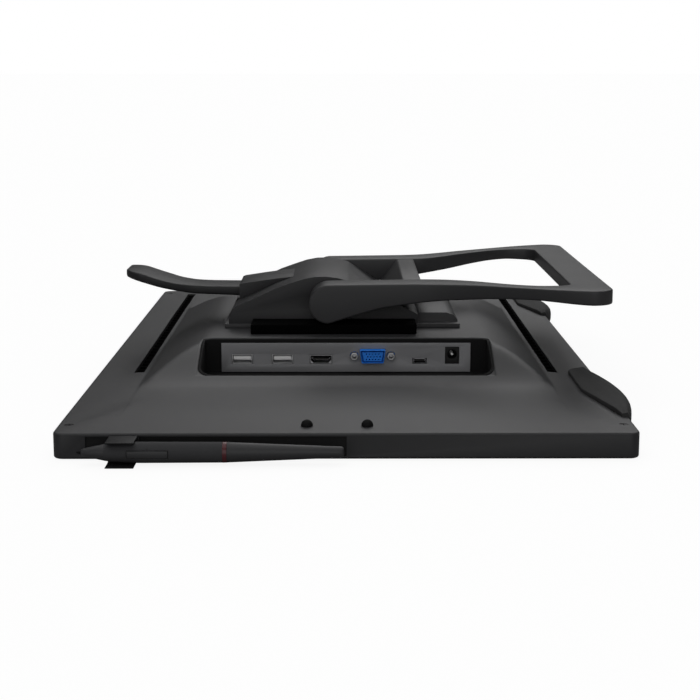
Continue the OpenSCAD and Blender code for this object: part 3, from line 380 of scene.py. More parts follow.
def circuit(name):
    """Green circuit board with paler tracks."""
    f = Finish(name)
    look = {
        "Vector": f.place,
        "Scale": 60.0,
        "Color1": (0.02, 0.11, 0.05, 1.0),
        "Color2": (0.03, 0.15, 0.07, 1.0),
        "Mortar": (0.12, 0.22, 0.09, 1.0),
    }
    tracks = f.node("ShaderNodeTexBrick", {}, look, out="Color")
    return f.set(Base_Color=tracks, Roughness=0.35 + f.noise(200.0) * 0.1)


def screen_glass(name):
    """Etched front glass over a dark panel, with its black border."""
    f = Finish(name)
    across, along = f.apart("X"), f.apart("Y")
    half_x, half_y = 0.134, 0.238  # half sizes of the picture
    border = f.node(
        "ShaderNodeMath", {"operation": "MAXIMUM"}, {0: across > half_x, 1: along > half_y}
    )
    etch = f.noise(3000.0, 2.0)
    return f.set(
        Base_Color=f.blend(border, (0.020, 0.021, 0.024), (0.004, 0.004, 0.0045)),
        Roughness=0.24 + etch * 0.06,
        Normal=f.bump(etch, 0.000008),
    )


def socket_shell(name, colour, tongue, low, high, depth):
    """Socket: plated shell, with the tongue inside it in another colour between two heights."""
    f = Finish(name)
    height = f.axis("Z")
    inside = (height > low) * (height < high) * (f.axis("Y") > depth)
    fine = f.noise(900.0)
    return f.set(
        Base_Color=f.blend(inside, f.blend(fine, shade(colour, 0.85), shade(colour, 1.1)), tongue),
        Metallic=1.0 - inside,
        Roughness=0.28 + fine * 0.1 + inside * 0.2,
    )


def pin_socket(name, colour, pin, middle_x, middle_z):
    """Black socket with a pale pin: what lies close to the socket's axis is the pin."""
    pin_r = 0.0012
    f = Finish(name)
    across, up = f.axis("X") - middle_x, f.axis("Z") - middle_z
    inside = (across * across + up * up) < pin_r**2
    fine = f.noise(1500.0)
    return f.set(
        Base_Color=f.blend(inside, f.blend(fine, shade(colour, 0.8), shade(colour, 1.2)), pin),
        Roughness=0.62 + fine * 0.1 - inside * 0.2,
    )


# Shapes


def ease(t):
    """Three t squared less two t cubed, held at 0 and 1."""
    t = np.clip(t, 0.0, 1.0)
    return t * t * (3.0 - 2.0 * t)


def sheet_faces(rows, cols, close=False):
    """Quads of a grid of rows by cols points, joined round the columns if closed."""
    r, c = np.meshgrid(np.arange(rows - 1), np.arange(cols if close else cols - 1), indexing="ij")
    n, a, b = (c + 1) % cols, r * cols, (r + 1) * cols
    return np.stack([a + c, a + n, b + n, b + c], -1).reshape(-1, 4)


def capped_tube(points, turned=False):
    """Points and faces of a row of closed rings, capped at each end; turned rings run the other way."""
    rows, cols = points.shape[:2]
    sides, first = sheet_faces(rows, cols, close=True), np.arange(cols)
    last = first + (rows - 1) * cols
    if turned:
        return points.reshape(-1, 3), [*sides[:, ::-1], first, last[::-1]]
    return points.reshape(-1, 3), [*sides, first[::-1], last]


def add_piece(name, points, faces, body, material, stands_for=()):
    """Puts points and faces into a mesh object that rides on a body and wears a material."""
    mesh = bpy.data.meshes.new(name)
    mesh.from_pydata(points.reshape(-1, 3).tolist(), [], [list(map(int, q)) for q in faces])
    mesh.validate()
    mesh.shade_smooth()
    mesh.set_sharp_from_angle(angle=math.radians(35.0))
    piece = bpy.data.objects.new(name, mesh)
    bpy.context.scene.collection.objects.link(piece)
    mesh.materials.append(material)
    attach(piece, body)
    if stands_for:
        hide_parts(*stands_for)
    return piece


def round_square(x, y, cx, cy, r, sx=0, sy=0):
    """Square to disc: a point keeps its direction from the middle and takes as radius the larger of its
    two offsets, so that the square's border becomes a circle. With sx and sy only that quarter moves."""
    u, v = x - cx, y - cy
    reach = np.maximum(np.abs(u), np.abs(v))
    inside = reach <= r + 1e-7
    if sx:
        inside = (u * sx >= -1e-9) & (v * sy >= -1e-9) & inside
    far = np.maximum(np.hypot(u, v), 1e-12)
    return np.where(inside, cx + u / far * reach, x), np.where(inside, cy + v / far * reach, y)


def grid_lines(low, high, step, kept):
    """Evenly spaced lines from low to high, with the kept ones put in and their close neighbours
    dropped."""
    kept = np.unique(np.round(np.asarray(kept), 7))
    even = np.linspace(low, high, int(round((high - low) / step)) + 1)
    gap = np.abs(even[:, None] - kept[None, :]).min(1)
    return np.unique(np.concatenate([kept, even[gap > 0.45 * step]]))


def fillet(d, r):
    """Drop of a quarter-round edge at distance d inside it."""
    d = np.clip(d, 0.0, r)
    return r - np.sqrt(np.maximum(r * r - (r - d) ** 2, 0.0))


def hill_across(x, s):
    """Height over the distance from the long middle line: the greater of a gentle straight rim and a
    quarter sine that leaves the foot steeply and ends level at the flat top, softly joined."""
    hx = FRAME_HIGH.x
    rim = s.rim_z + (s.foot_z - s.rim_z) * (hx - x) / (hx - s.hill_foot_x)
    share = (s.hill_foot_x - x) / (s.hill_foot_x - s.hill_top_x)
    swell = np.where(share < 0, share * math.pi / 2, np.sin(np.clip(share, 0.0, 1.0) * math.pi / 2))
    return -soft_least(-rim, -s.foot_z - (s.top_z - s.foot_z) * swell, SOFT_FOOT)


def hill_along(y, s):
    """Height over the distance from the short middle line: a gentle straight rim, then a three-two ease
    up to the flat."""
    hy = FRAME_HIGH.y
    rim = s.rim_z + (s.foot_z - s.rim_z) * (hy - y) / (hy - s.hill_foot_y)
    rise = ease((s.hill_foot_y - y) / (s.hill_foot_y - s.hill_top_y))
    return np.where(y >= s.hill_foot_y, rim, s.foot_z + (s.top_z - s.foot_z) * rise)


def end_belly(x, y, s):
    """Swell of an end's slope: a squared sine from the edge to the hill's foot, which fades by a
    three-two ease to the creases that run from the corners to the foot."""
    fade = 0.9  # share of the slope's width over which it fades
    up = np.clip((FRAME_HIGH.y - np.abs(y)) / (FRAME_HIGH.y - s.hill_foot_y), 1e-6, 1.0)
    over = (FRAME_HIGH.x - np.abs(x)) / (FRAME_HIGH.x - s.hill_foot_x)
    return s.belly * np.sin(math.pi * up) ** 2 * ease((over / up - 1.0) / fade)


def soft_least(a, b, k):
    """The lesser of a and b, rounded over a width k where they cross."""
    h = np.clip(0.5 + 0.5 * (b - a) / k, 0.0, 1.0)
    return b + (a - b) * h - k * h * (1.0 - h)


def cover_shape(s):
    """Back cover: height is the lesser of a hill line across and one along, softly joined, on a grid
    whose squares at the corners, the port bay and the holes become rounds. A lower copy closes it."""
    hx, hy = FRAME_HIGH.x, FRAME_HIGH.y
    bay_x, bay_near, bay_far = BAY_HIGH.x, BAY_LOW.y, BAY_HIGH.y
    vents = [(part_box(n)[0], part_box(n)[1]) for n in ("vent_top", "vent_bottom")]
    screw_x, screw_y, screw_r = 0.0065, 0.0205, 0.0027  # corner screws, from the edges
    plug_x, plug_y, plug_r = (-0.0229, 0.012), 0.0162, 0.0026  # plugs of the end slopes
    rounds = [(x * (hx - screw_x), y * (hy - screw_y), screw_r) for x in (-1, 1) for y in (-1, 1)]
    rounds += [(x, y * (hy - plug_y), plug_r) for x in plug_x for y in (-1, 1)]
    rim = np.array([0.0, 0.00015, 0.0005, 0.0010, 0.0020])
    parts = np.array([-1.0, -0.5, 0.0, 0.5, 1.0])
    turns = np.array([0.5, 0.75, 1.0])
    feet = np.array([-0.0016, -0.0008, 0.0, 0.0008, 0.0016])
    bend, lip = np.array([0.002, 0.005]), np.array([0.0, 0.0006, 0.0014])
    corner_x, corner_y = hx - s.corner_r * turns, hy - s.corner_r * turns
    kept_x = np.concatenate(
        [hx - rim, rim - hx, corner_x, -corner_x, bay_x + rim, -bay_x - rim]
        + [s.hill_foot_x + feet, -s.hill_foot_x - feet]
        + [[bay_x - s.bay_r, s.bay_r - bay_x], bay_x - bend, bend - bay_x]
        + [[lo.x, hi.x] for lo, hi in vents]
        + [x + parts * r for x, y, r in rounds]
    )
    kept_y = np.concatenate(
        [hy - rim, rim - hy, corner_y, -corner_y, bay_near - rim]
        + [[bay_near + s.bay_r], bay_near + bend, bay_far + lip]
        + [[lo.y, hi.y] for lo, hi in vents]
        + [y + parts * r for x, y, r in rounds]
    )
    xs = grid_lines(-hx, hx, s.grid_step, kept_x)
    ys = grid_lines(-hy, hy, s.grid_step, kept_y)
    x, y = np.meshgrid(xs, ys)
    mid_x = (x[1:, 1:] + x[:-1, :-1]) / 2
    mid_y = (y[1:, 1:] + y[:-1, :-1]) / 2
    open_cells = (np.abs(mid_x) < bay_x) & (mid_y > bay_near) & (mid_y < bay_far)
    for lo, hi in vents:
        open_cells |= (mid_x > lo.x) & (mid_x < hi.x) & (mid_y > lo.y) & (mid_y < hi.y)
    for cx, cy, r in rounds:
        open_cells |= (np.abs(mid_x - cx) < r) & (np.abs(mid_y - cy) < r)
    faces = sheet_faces(len(ys), len(xs))[~open_cells.ravel()]
    for sx in (-1, 1):
        x, y = round_square(x, y, sx * (bay_x - s.bay_r), bay_near + s.bay_r, s.bay_r, sx, -1)
        for sy in (-1, 1):
            cx, cy = sx * (hx - s.corner_r), sy * (hy - s.corner_r)
            x, y = round_square(x, y, cx, cy, s.corner_r, sx, sy)
    for cx, cy, r in rounds:
        x, y = round_square(x, y, cx, cy, r)
    across = hill_across(np.abs(x), s)
    along = hill_along(np.abs(y), s) + end_belly(x, y, s)
    z = soft_least(across, along, SOFT_CREASE)
    past_x, past_y = np.abs(x) - hx + s.corner_r, np.abs(y) - hy + s.corner_r
    corner = np.hypot(np.maximum(past_x, 0), np.maximum(past_y, 0))
    inset = np.where(
        (np.abs(x) > hx - s.corner_r) & (np.abs(y) > hy - s.corner_r),
        s.corner_r - corner,
        np.minimum(hx - np.abs(x), hy - np.abs(y)),
    )
    out_x = np.maximum(np.abs(x) - bay_x, 0.0)
    out_y = np.maximum(np.maximum(bay_near - y, y - bay_far), 0.0)
    z = z - fillet(inset, COVER_EDGE) - fillet(np.hypot(out_x, out_y), COVER_EDGE)
    low = np.maximum(z - s.cover_t, s.seam_z)
    return close_sheet(np.stack([x, y, z], -1).reshape(-1, 3), low.ravel(), faces)


def close_sheet(points, low, faces):
    """Closed shell from a sheet: a copy at the low heights, turned over, and walls along every open
    edge."""
    count = len(points)
    under = points.copy()
    under[:, 2] = low
    start, end = faces.ravel(), np.roll(faces, -1, axis=1).ravel()
    rim = ~np.isin(start * count + end, end * count + start)
    a, b = start[rim], end[rim]
    walls = np.stack([a, a + count, b + count, b], -1)
    every = np.concatenate([faces, faces[:, ::-1] + count, walls])
    used, index = np.unique(every, return_inverse=True)
    return np.concatenate([points, under])[used], index.reshape(-1, 4)


def bar_section(steps):
    """Corner signs and turns of a rounded rectangle, with so many points to a corner: side, height,
    cosine, sine."""
    turn = np.linspace(0.0, math.pi / 2, steps)
    corner = np.repeat(np.arange(4), steps)
    angle = np.tile(turn, 4) + corner * math.pi / 2
    side = np.array([1.0, -1.0, -1.0, 1.0])[corner]
    up = np.array([1.0, 1.0, -1.0, -1.0])[corner]
    return side, up, np.cos(angle), np.sin(angle)


def rounded_bar(left, right, low, high, edge, steps=5):
    """Bar between two plan curves: each section is a rounded rectangle whose width is the distance
    between the curves and whose floor and roof are given over x. The radius is the edge, or less where
    the bar is thin."""
    side, up, c, s = bar_section(steps)
    wide = np.linalg.norm(right - left, axis=1)[:, None]
    mid_x = ((left + right) / 2)[:, 0]
    tall = np.maximum(high(mid_x) - low(mid_x), TINY)[:, None]
    r = np.minimum(edge, np.minimum(wide, tall) * 0.49)
    a = 0.5 + side * (0.5 - r / wide) + c * r / wide
    b = 0.5 + up * (0.5 - r / tall) + s * r / tall
    plan = left[:, None, :] + (right - left)[:, None, :] * a[..., None]
    floor, roof = low(plan[..., 0]), high(plan[..., 0])
    points = np.concatenate([plan, (floor + (roof - floor) * b)[..., None]], -1)
    return capped_tube(points)


def smooth_line(points, spread):
    """Height over x through the points, averaged over a width so that its corners are soft."""
    px, pz = np.array(points, float).T
    order = np.argsort(px)
    px, pz = px[order], pz[order]
    dense = np.linspace(px[0] - spread, px[-1] + spread, 900)
    before = pz[0] + (dense - px[0]) * (pz[1] - pz[0]) / (px[1] - px[0])
    after = pz[-1] + (dense - px[-1]) * (pz[-1] - pz[-2]) / (px[-1] - px[-2])
    sloped = np.where(dense < px[0], before, np.interp(dense, px, pz))
    sloped = np.where(dense > px[-1], after, sloped)
    width = max(1, int(spread / (dense[1] - dense[0])))
    kernel = np.hanning(width + 2)
    padded = np.pad(sloped, width, mode="edge")
    soft = np.convolve(padded, kernel / kernel.sum(), mode="same")[width:-width]
    return lambda x: np.interp(x, dense, soft)


def leg_heights(s):
    """Floor and roof of the leg over x: a round end about the hinge, then a long taper."""
    roof_0 = s.pivot_z + s.arm_r
    end_x = LEG_HIGH.x
    rises = [(s.pivot_x, 0.0), (0.060, 0.0009), (0.090, 0.0021), (end_x, 0.0033)]
    roof_line = smooth_line([(x, roof_0 + d) for x, d in rises], LINE_SPREAD)
    drops = [
        (s.pivot_x, 2 * s.arm_r), (0.004, 0.022), (0.0235, 0.0164), (0.046, 0.0130), (0.058, 0.0113),
        (0.069, 0.0099), (0.082, 0.0086), (0.097, 0.0069), (0.113, 0.0056), (0.128, 0.0051),
        (0.140, 0.0056), (0.150, 0.0062), (0.160, 0.0066), (end_x, 0.0066),
    ]
    floor_line = smooth_line([(x, roof_0 - d) for x, d in drops], LINE_SPREAD)

    def swell(x):
        """Half height of the round end about the hinge."""
        return np.sqrt(np.maximum(s.arm_r**2 - np.minimum(x - s.pivot_x, 0.0) ** 2, 0.0))

    def roof(x):
        return np.where(x < s.pivot_x, s.pivot_z + swell(x), roof_line(x))

    def floor(x):
        straight = np.maximum(floor_line(x), s.pivot_z - s.arm_r)
        return np.where(x < s.pivot_x, s.pivot_z - swell(x), straight)

    return floor, roof


def leg_curves(s):
    """Outer and inner plan curves of the leg: flaring arms by a three-two ease, quarter-round corners,
    straight bar."""
    start, end = s.pivot_x - s.arm_r + TINY, LEG_HIGH.x
    arm_in, arm_out, loop_in, loop_out = 0.0592, 0.0855, 0.107, 0.140
    r_out, r_in, bar = 0.014, 0.009, 0.025
    flare_out, over_out, flare_in, over_in = 0.040, 0.140, 0.052, 0.085  # starts and lengths
    outer_x = s.pivot_x - s.arm_r * np.cos(np.linspace(0.0, math.pi / 2, 14))[:-1] + TINY
    t = np.concatenate([outer_x, np.linspace(s.pivot_x, end - r_out, 60)])
    share = (t - start) / (end - r_out - start)
    xi = np.where(share < 0.5, t, t + (share - 0.5) * 2.0 * (end - bar - r_in - (end - r_out)))
    yo = -(arm_out + (loop_out - arm_out) * ease((t - flare_out) / over_out))
    yi = -(arm_in + (loop_in - arm_in) * ease((xi - flare_in) / over_in))
    turn = np.linspace(0.0, math.pi / 2, 16)[1:]
    sine, cosine = np.sin(turn), np.cos(turn)
    corner_out = np.stack([end - r_out + r_out * sine, yo[-1] + r_out - r_out * cosine], -1)
    corner_in = np.stack([end - bar - r_in + r_in * sine, yi[-1] + r_in - r_in * cosine], -1)
    along = np.linspace(0.0, 1.0, 40)[1:-1]
    bar_out = np.stack([np.full(len(along), end), corner_out[-1, 1] * (1 - 2 * along)], -1)
    bar_in = np.stack([np.full(len(along), end - bar), corner_in[-1, 1] * (1 - 2 * along)], -1)
    near_out = np.concatenate([np.stack([t, yo], -1), corner_out])
    near_in = np.concatenate([np.stack([xi, yi], -1), corner_in])
    flip = np.array([1.0, -1.0])
    outer = np.concatenate([near_out, bar_out, near_out[::-1] * flip])
    inner = np.concatenate([near_in, bar_in, near_in[::-1] * flip])
    return outer, inner


def bulged_prism(outline, half, edge, steps=4):
    """Outline in x and z carried along y: towards both ends it draws in along its normals by a quarter
    round."""
    ahead, behind = np.roll(outline, -1, 0), np.roll(outline, 1, 0)
    along = ahead - behind
    normal = np.stack([along[:, 1], -along[:, 0]], -1)
    normal /= np.maximum(np.linalg.norm(normal, axis=1), 1e-9)[:, None]
    turn = np.linspace(0.0, math.pi / 2, steps)
    y = np.concatenate([-half + edge * (1 - np.cos(turn)), half - edge * (1 - np.cos(turn[::-1]))])
    draw = np.concatenate([edge * (1 - np.sin(turn)), edge * (1 - np.sin(turn[::-1]))])
    ring = outline[None, :, :] - normal[None, :, :] * draw[:, None, None]
    points = np.stack([ring[..., 0], np.repeat(y[:, None], len(outline), 1), ring[..., 1]], -1)
    return capped_tube(points)


def round_outline(corners, radius, steps=5):
    """Closed outline with each corner cut to a soft quadratic curve that starts a radius before it."""
    p = np.array(corners, float)
    back, ahead = np.roll(p, 1, 0) - p, np.roll(p, -1, 0) - p
    lb, la = np.linalg.norm(back, axis=1)[:, None], np.linalg.norm(ahead, axis=1)[:, None]
    radius = np.broadcast_to(np.asarray(radius, float), len(p))[:, None]
    a = p + back / lb * np.minimum(radius, lb * 0.45)
    b = p + ahead / la * np.minimum(radius, la * 0.45)
    t = np.linspace(0.0, 1.0, steps)[None, :, None]
    curve = (1 - t) ** 2 * a[:, None] + 2 * t * (1 - t) * p[:, None] + t**2 * b[:, None]
    return curve.reshape(-1, 2)


def foot_shape(node, length, s):
    """Rubber foot: along y its outer edge is a circle's arc, and its inner edge runs in over the cover,
    stays and comes back. Across, a rounded outline stands on the cover with a low wall, turns over the
    rim and ends under it."""
    sink, crown, tail, thin, full = 0.0026, 0.43, 0.004, 0.0006, 0.010
    low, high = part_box(node)
    hx = FRAME_HIGH.x
    out = high.x - hx
    bow = out + sink
    lens = (length**2 / 4 + bow**2) / (2 * bow)
    t = (1.0 - np.cos(np.linspace(0.0, math.pi, 91))) / 2 * (high.y - low.y) / length
    y, flat = low.y + length * t, np.zeros(len(t))
    outer = hx + out - lens + np.sqrt(lens**2 - ((t - crown) * length) ** 2)
    reach = smooth_line([(0.0, tail), (0.46, s.foot_edge), (0.9, s.foot_edge), (1.0, tail)], 0.10)(t)
    inner = np.minimum(hx - reach, outer - thin)
    wide = outer - inner
    cover = s.rim_z + (s.foot_z - s.rim_z) * (hx - inner) / (hx - s.hill_foot_x)
    rise = np.maximum(high.z - cover, 0.0) * np.minimum(1.0, wide / full) ** 0.6
    wall = np.minimum(hx + 0.0001, outer)
    corners = [
        (inner, cover - 0.0008),
        (wall - 0.0003, s.rim_z - 0.0006 + flat),
        (wall, s.seam_z - 0.001 + flat),
        (wall, 0.0052 + flat),
        (np.maximum(outer - 0.0018, wall), 0.0050 + flat),
        (outer, 0.0076 + flat),
        (outer, s.rim_z + 0.0004 + flat),
        (outer - 0.24 * wide, cover + 0.96 * rise),
        (outer - 0.50 * wide, cover + rise),
        (inner + 0.30 * wide, cover + 0.84 * rise),
        (inner, cover + 0.80 * rise),
    ]
    radius = np.array([0.3, 0.3, 0.3, 0.3, 1.5, 2.0, 4.0, 4.0, 4.0, 3.0, 0.8]) * MM
    ring = np.array(
        [round_outline([(cx[k], cz[k]) for cx, cz in corners], radius) for k in range(len(t))]
    )
    points = np.stack([ring[..., 0], np.repeat(y[:, None], ring.shape[1], 1), ring[..., 1]], -1)
    return capped_tube(points, turned=True)


def lever_curves():
    """Side curves of the lever in plan: a straight stem that widens by a three-two ease, and a tip with
    round corners."""
    tip, root = LEVER_LOW.x, -0.052
    half, wide, r = 0.018, 0.024, 0.014
    flare, over = 0.108, 0.030  # where the stem starts to widen, and over how far
    turn = np.linspace(0.01, math.pi / 2, 26)
    stem_x = np.linspace(tip + r, root, 50)[1:]
    stem_y = half + (wide - half) * ease((-stem_x - flare) / over)
    x = np.concatenate([tip + r - r * np.cos(turn), stem_x])
    y = np.concatenate([wide - r + r * np.sin(turn), stem_y])
    return np.stack([x, -y], -1), np.stack([x, y], -1)


def lever_heights(s):
    """Floor and roof of the lever over x, drawn together by a quarter round at the tip."""
    z, tip, tip_r = s.top_z, LEVER_LOW.x, 0.0012
    roof = [(-0.161, 0.0362), (-0.150, 0.0346), (-0.138, 0.0304), (-0.124, 0.0264), (-0.112, 0.0248),
            (-0.100, 0.0242), (-0.080, 0.0240), (-0.052, 0.0240)]
    floor = [(-0.161, 0.0312), (-0.150, 0.0282), (-0.138, 0.0245), (-0.124, 0.0210), (-0.112, 0.0186),
             (-0.080, 0.0174), (-0.052, 0.0146)]
    floor_line = smooth_line([(x, z + h) for x, h in floor], LINE_SPREAD)
    roof_line = smooth_line([(x, z + h) for x, h in roof], LINE_SPREAD)
    return (
        lambda x: floor_line(x) + fillet(x - tip, tip_r),
        lambda x: roof_line(x) - fillet(x - tip, tip_r),
    )


def spring_shape():
    """Return spring: a round wire whose middle climbs a helix evenly, with each ring upright through the
    helix's axis."""
    low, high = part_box("lever_spring")
    wire, turns, per_turn, sides = 0.0006, 5, 32, 10
    coil = (high.x - low.x) / 2 - wire
    turn = np.linspace(0.0, 2.0 * math.pi * turns, turns * per_turn + 1)[:, None]
    ring = np.linspace(0.0, 2.0 * math.pi, sides, endpoint=False)[None, :]
    reach = coil + wire * np.cos(ring)
    climb = low.z + wire + (high.z - low.z - 2.0 * wire) * turn / turn[-1]
    x = (low.x + high.x) / 2 + reach * np.cos(turn)
    y = (low.y + high.y) / 2 + reach * np.sin(turn)
    points = np.stack([x, y, climb + wire * np.sin(ring)], -1)
    return capped_tube(points, turned=True)


# Finishing of the frame's own nodes


def smooth_by_angle(angle):
    """Node group that shades smooth, but keeps edges sharper than the angle."""
    name = f"smooth_{round(math.degrees(angle))}"
    group = bpy.data.node_groups.get(name)
    if group:
        return group
    group = bpy.data.node_groups.new(name, "GeometryNodeTree")
    group.interface.new_socket("Geometry", in_out="INPUT", socket_type="NodeSocketGeometry")
    group.interface.new_socket("Geometry", in_out="OUTPUT", socket_type="NodeSocketGeometry")
    start, end = group.nodes.new("NodeGroupInput"), group.nodes.new("NodeGroupOutput")
    faces, edges = [group.nodes.new("GeometryNodeSetShadeSmooth") for _ in range(2)]
    faces.domain, edges.domain = "FACE", "EDGE"
    faces.inputs["Shade Smooth"].default_value = True
    edges.inputs["Shade Smooth"].default_value = False
    bend = group.nodes.new("GeometryNodeInputMeshEdgeAngle")
    more = group.nodes.new("FunctionNodeCompare")
    more.data_type, more.operation = "FLOAT", "GREATER_THAN"
    more.inputs["B"].default_value = angle
    group.links.new(bend.outputs[0], more.inputs["A"])
    group.links.new(start.outputs[0], faces.inputs["Geometry"])
    group.links.new(faces.outputs[0], edges.inputs["Geometry"])
    group.links.new(more.outputs[0], edges.inputs["Selection"])
    group.links.new(edges.outputs[0], end.inputs[0])
    return group


def dress(node, material, edge):
    """Gives a frame node its material, joins its triangles, rounds its edges, smooths its shading."""
    piece = NODES[node]
    piece.data.materials.clear()
    piece.data.materials.append(material)
    weld = piece.modifiers.new("join", "WELD")
    weld.merge_threshold = 1e-6
    if edge:
        flat = piece.modifiers.new("flat", "DECIMATE")
        flat.decimate_type = "DISSOLVE"
        flat.angle_limit = math.radians(0.4)
        soft = piece.modifiers.new("edge", "BEVEL")
        soft.width = edge
        soft.segments = 3
        soft.limit_method = "ANGLE"
        soft.angle_limit = math.radians(38.0)
        soft.use_clamp_overlap = True
        soft.miter_outer = "MITER_ARC"
    shade_mod = piece.modifiers.new("smooth", "NODES")
    shade_mod.node_group = smooth_by_angle(math.radians(32.0))


def settings():
    """The three groups of settings of the scene."""
    scene = bpy.context.scene
    return scene.pen_display_sizes, scene.pen_display_colours, scene.pen_display_stage


FINISHES = {}  # filled by the finishes operator


class PENDISPLAY_OT_finishes(bpy.types.Operator):
    """Makes every finish that the pieces wear"""

    bl_idname = "pen_display.finishes"
    bl_label = "Finishes"

    def execute(self, context):
        c = settings()[1]
        FINISHES.update(
            shell=moulded("shell", c.shell),
            # the wall's openings carry painted shade in the recess colour
            wall=wall_with_painted_slot_shade("wall", c.wall, c.recess),
            cradle=moulded("cradle", shade(c.wall, 0.42), 0.5, 3000.0, shine=0.2),
            hub=moulded("hub", shade(c.shell, 0.82), shine=0.32),
            metal=painted("stand_paint", c.metal, shine=0.4),
            paddle=painted("paddle_paint", shade(c.metal, 0.6), shine=0.25),
            recess=flat_black("recess", c.recess),
            # painted shade: black parts made darker still, so the vents and hinge beds read as shadowed
            # gaps
            gap=flat_black("painted_shade_gap", shade(c.recess, 0.3), 0.9, 0.05),
            plate=moulded("port_plate", c.plate, 0.5, 2200.0),
            rubber=soft_rubber("rubber", c.rubber),
            pen=satin("pen_body", c.pen, 0.48),
            grip=soft_rubber("pen_grip", shade(c.pen, 1.2)),
            ring=satin("pen_ring", c.ring, 0.28),
            nose=satin("pen_nose", shade(c.pen, 1.1), 0.5),
            video=satin("video_blue", c.video, 0.4),
            stud=plated("stud", (0.62, 0.62, 0.63), 0.4),
            screw=plated("screw", (0.05, 0.05, 0.052), 0.4),
            steel=plated("steel", (0.56, 0.57, 0.58), 0.28),
            bronze=plated("bronze", (0.50, 0.34, 0.15), 0.4),
            lining=flat_black("brake_lining", (0.09, 0.05, 0.03), 0.85),
            board=circuit("circuit"),
            glass=screen_glass("screen_glass"),
            panel=satin("panel", (0.03, 0.035, 0.045), 0.2),
            light=satin("light_guide", (0.75, 0.75, 0.76), 0.5),
            dial=satin("dial", (0.075, 0.012, 0.014), 0.3),
            key=satin("key", (0.02, 0.02, 0.021), 0.38),
        )
        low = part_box("data_port_1")[0]
        mouth, pale, dark = low.y + 0.0006, (0.95, 0.95, 0.94), (0.01, 0.01, 0.01)
        sockets = {  # colours of shell and tongue, and where the tongue starts and ends in height
            "data": ((0.60, 0.60, 0.61), pale, 0.0031, 0.0052),
            "picture": ((0.40, 0.40, 0.41), dark, 0.0025, 0.0039),
            "oval": ((0.30, 0.30, 0.31), dark, 0.0014, 0.0022),
        }
        for name, (shell, tongue, start, end) in sockets.items():
            FINISHES[name] = socket_shell(
                name + "_socket", shell, tongue, low.z + start, low.z + end, mouth
            )
        low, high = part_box("power_jack")
        pin_x, pin_z = (low.x + high.x) / 2, low.z + 0.0064
        FINISHES["jack"] = pin_socket("power_socket", c.recess, (0.85, 0.85, 0.84), pin_x, pin_z)
        return {"FINISHED"}


class PENDISPLAY_OT_cover(bpy.types.Operator):
    """Builds the back cover as one smooth shell"""

    bl_idname = "pen_display.cover"
    bl_label = "Back cover"

    def execute(self, context):
        points, faces = cover_shape(settings()[0])
        add_piece("back_shell", points, faces, "case", FINISHES["shell"], ["back_cover"])
        return {"FINISHED"}


class PENDISPLAY_OT_leg(bpy.types.Operator):
    """Builds the leg's loop and the web between its arms"""

    bl_idname = "pen_display.leg"
    bl_label = "Leg"

    def execute(self, context):
        s = settings()[0]
        floor, roof = leg_heights(s)
        outer, inner = leg_curves(s)
        points, faces = rounded_bar(inner, outer, floor, roof, s.arm_edge, 6)
        add_piece("leg_loop", points, faces, "leg", FINISHES["metal"], ["leg_frame"])
        roof_z, web_round, web_half, web_edge = s.pivot_z + s.arm_r, 0.0012, 0.0600, 0.0002
        web = [(0.0268, -0.0168), (0.053, -0.0121), (0.053, 0.0004), (0.040, 0.0003), (0.0268, -0.0160)]
        outline = round_outline([(x, roof_z + z) for x, z in web], web_round)
        points, faces = bulged_prism(outline, web_half, web_edge)
        add_piece("leg_web", points, faces, "leg", FINISHES["metal"])
        return {"FINISHED"}


class PENDISPLAY_OT_lever(bpy.types.Operator):
    """Builds the release lever's paddle and the spring that it presses"""

    bl_idname = "pen_display.lever"
    bl_label = "Release lever"

    def execute(self, context):
        s = settings()[0]
        left, right = lever_curves()
        floor, roof = lever_heights(s)
        points, faces = rounded_bar(left, right, floor, roof, s.lever_edge)
        paint, steel = FINISHES["paddle"], FINISHES["steel"]
        add_piece("lever_paddle", points, faces, "lever", paint, ["release_lever"])
        points, faces = spring_shape()
        coil = add_piece("spring_coil", points, faces, "case", steel, ["lever_spring"])
        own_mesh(coil)
        return {"FINISHED"}


class PENDISPLAY_OT_feet(bpy.types.Operator):
    """Builds the two rubber feet on the lower edge"""

    bl_idname = "pen_display.feet"
    bl_label = "Rubber feet"

    def execute(self, context):
        lengths, rubber = {"foot_near": 0.144, "foot_far": 0.108}, FINISHES["rubber"]
        for node, length in lengths.items():
            points, faces = foot_shape(node, length, settings()[0])
            add_piece("rubber_" + node, points, faces, "case", rubber, [node])
        return {"FINISHED"}


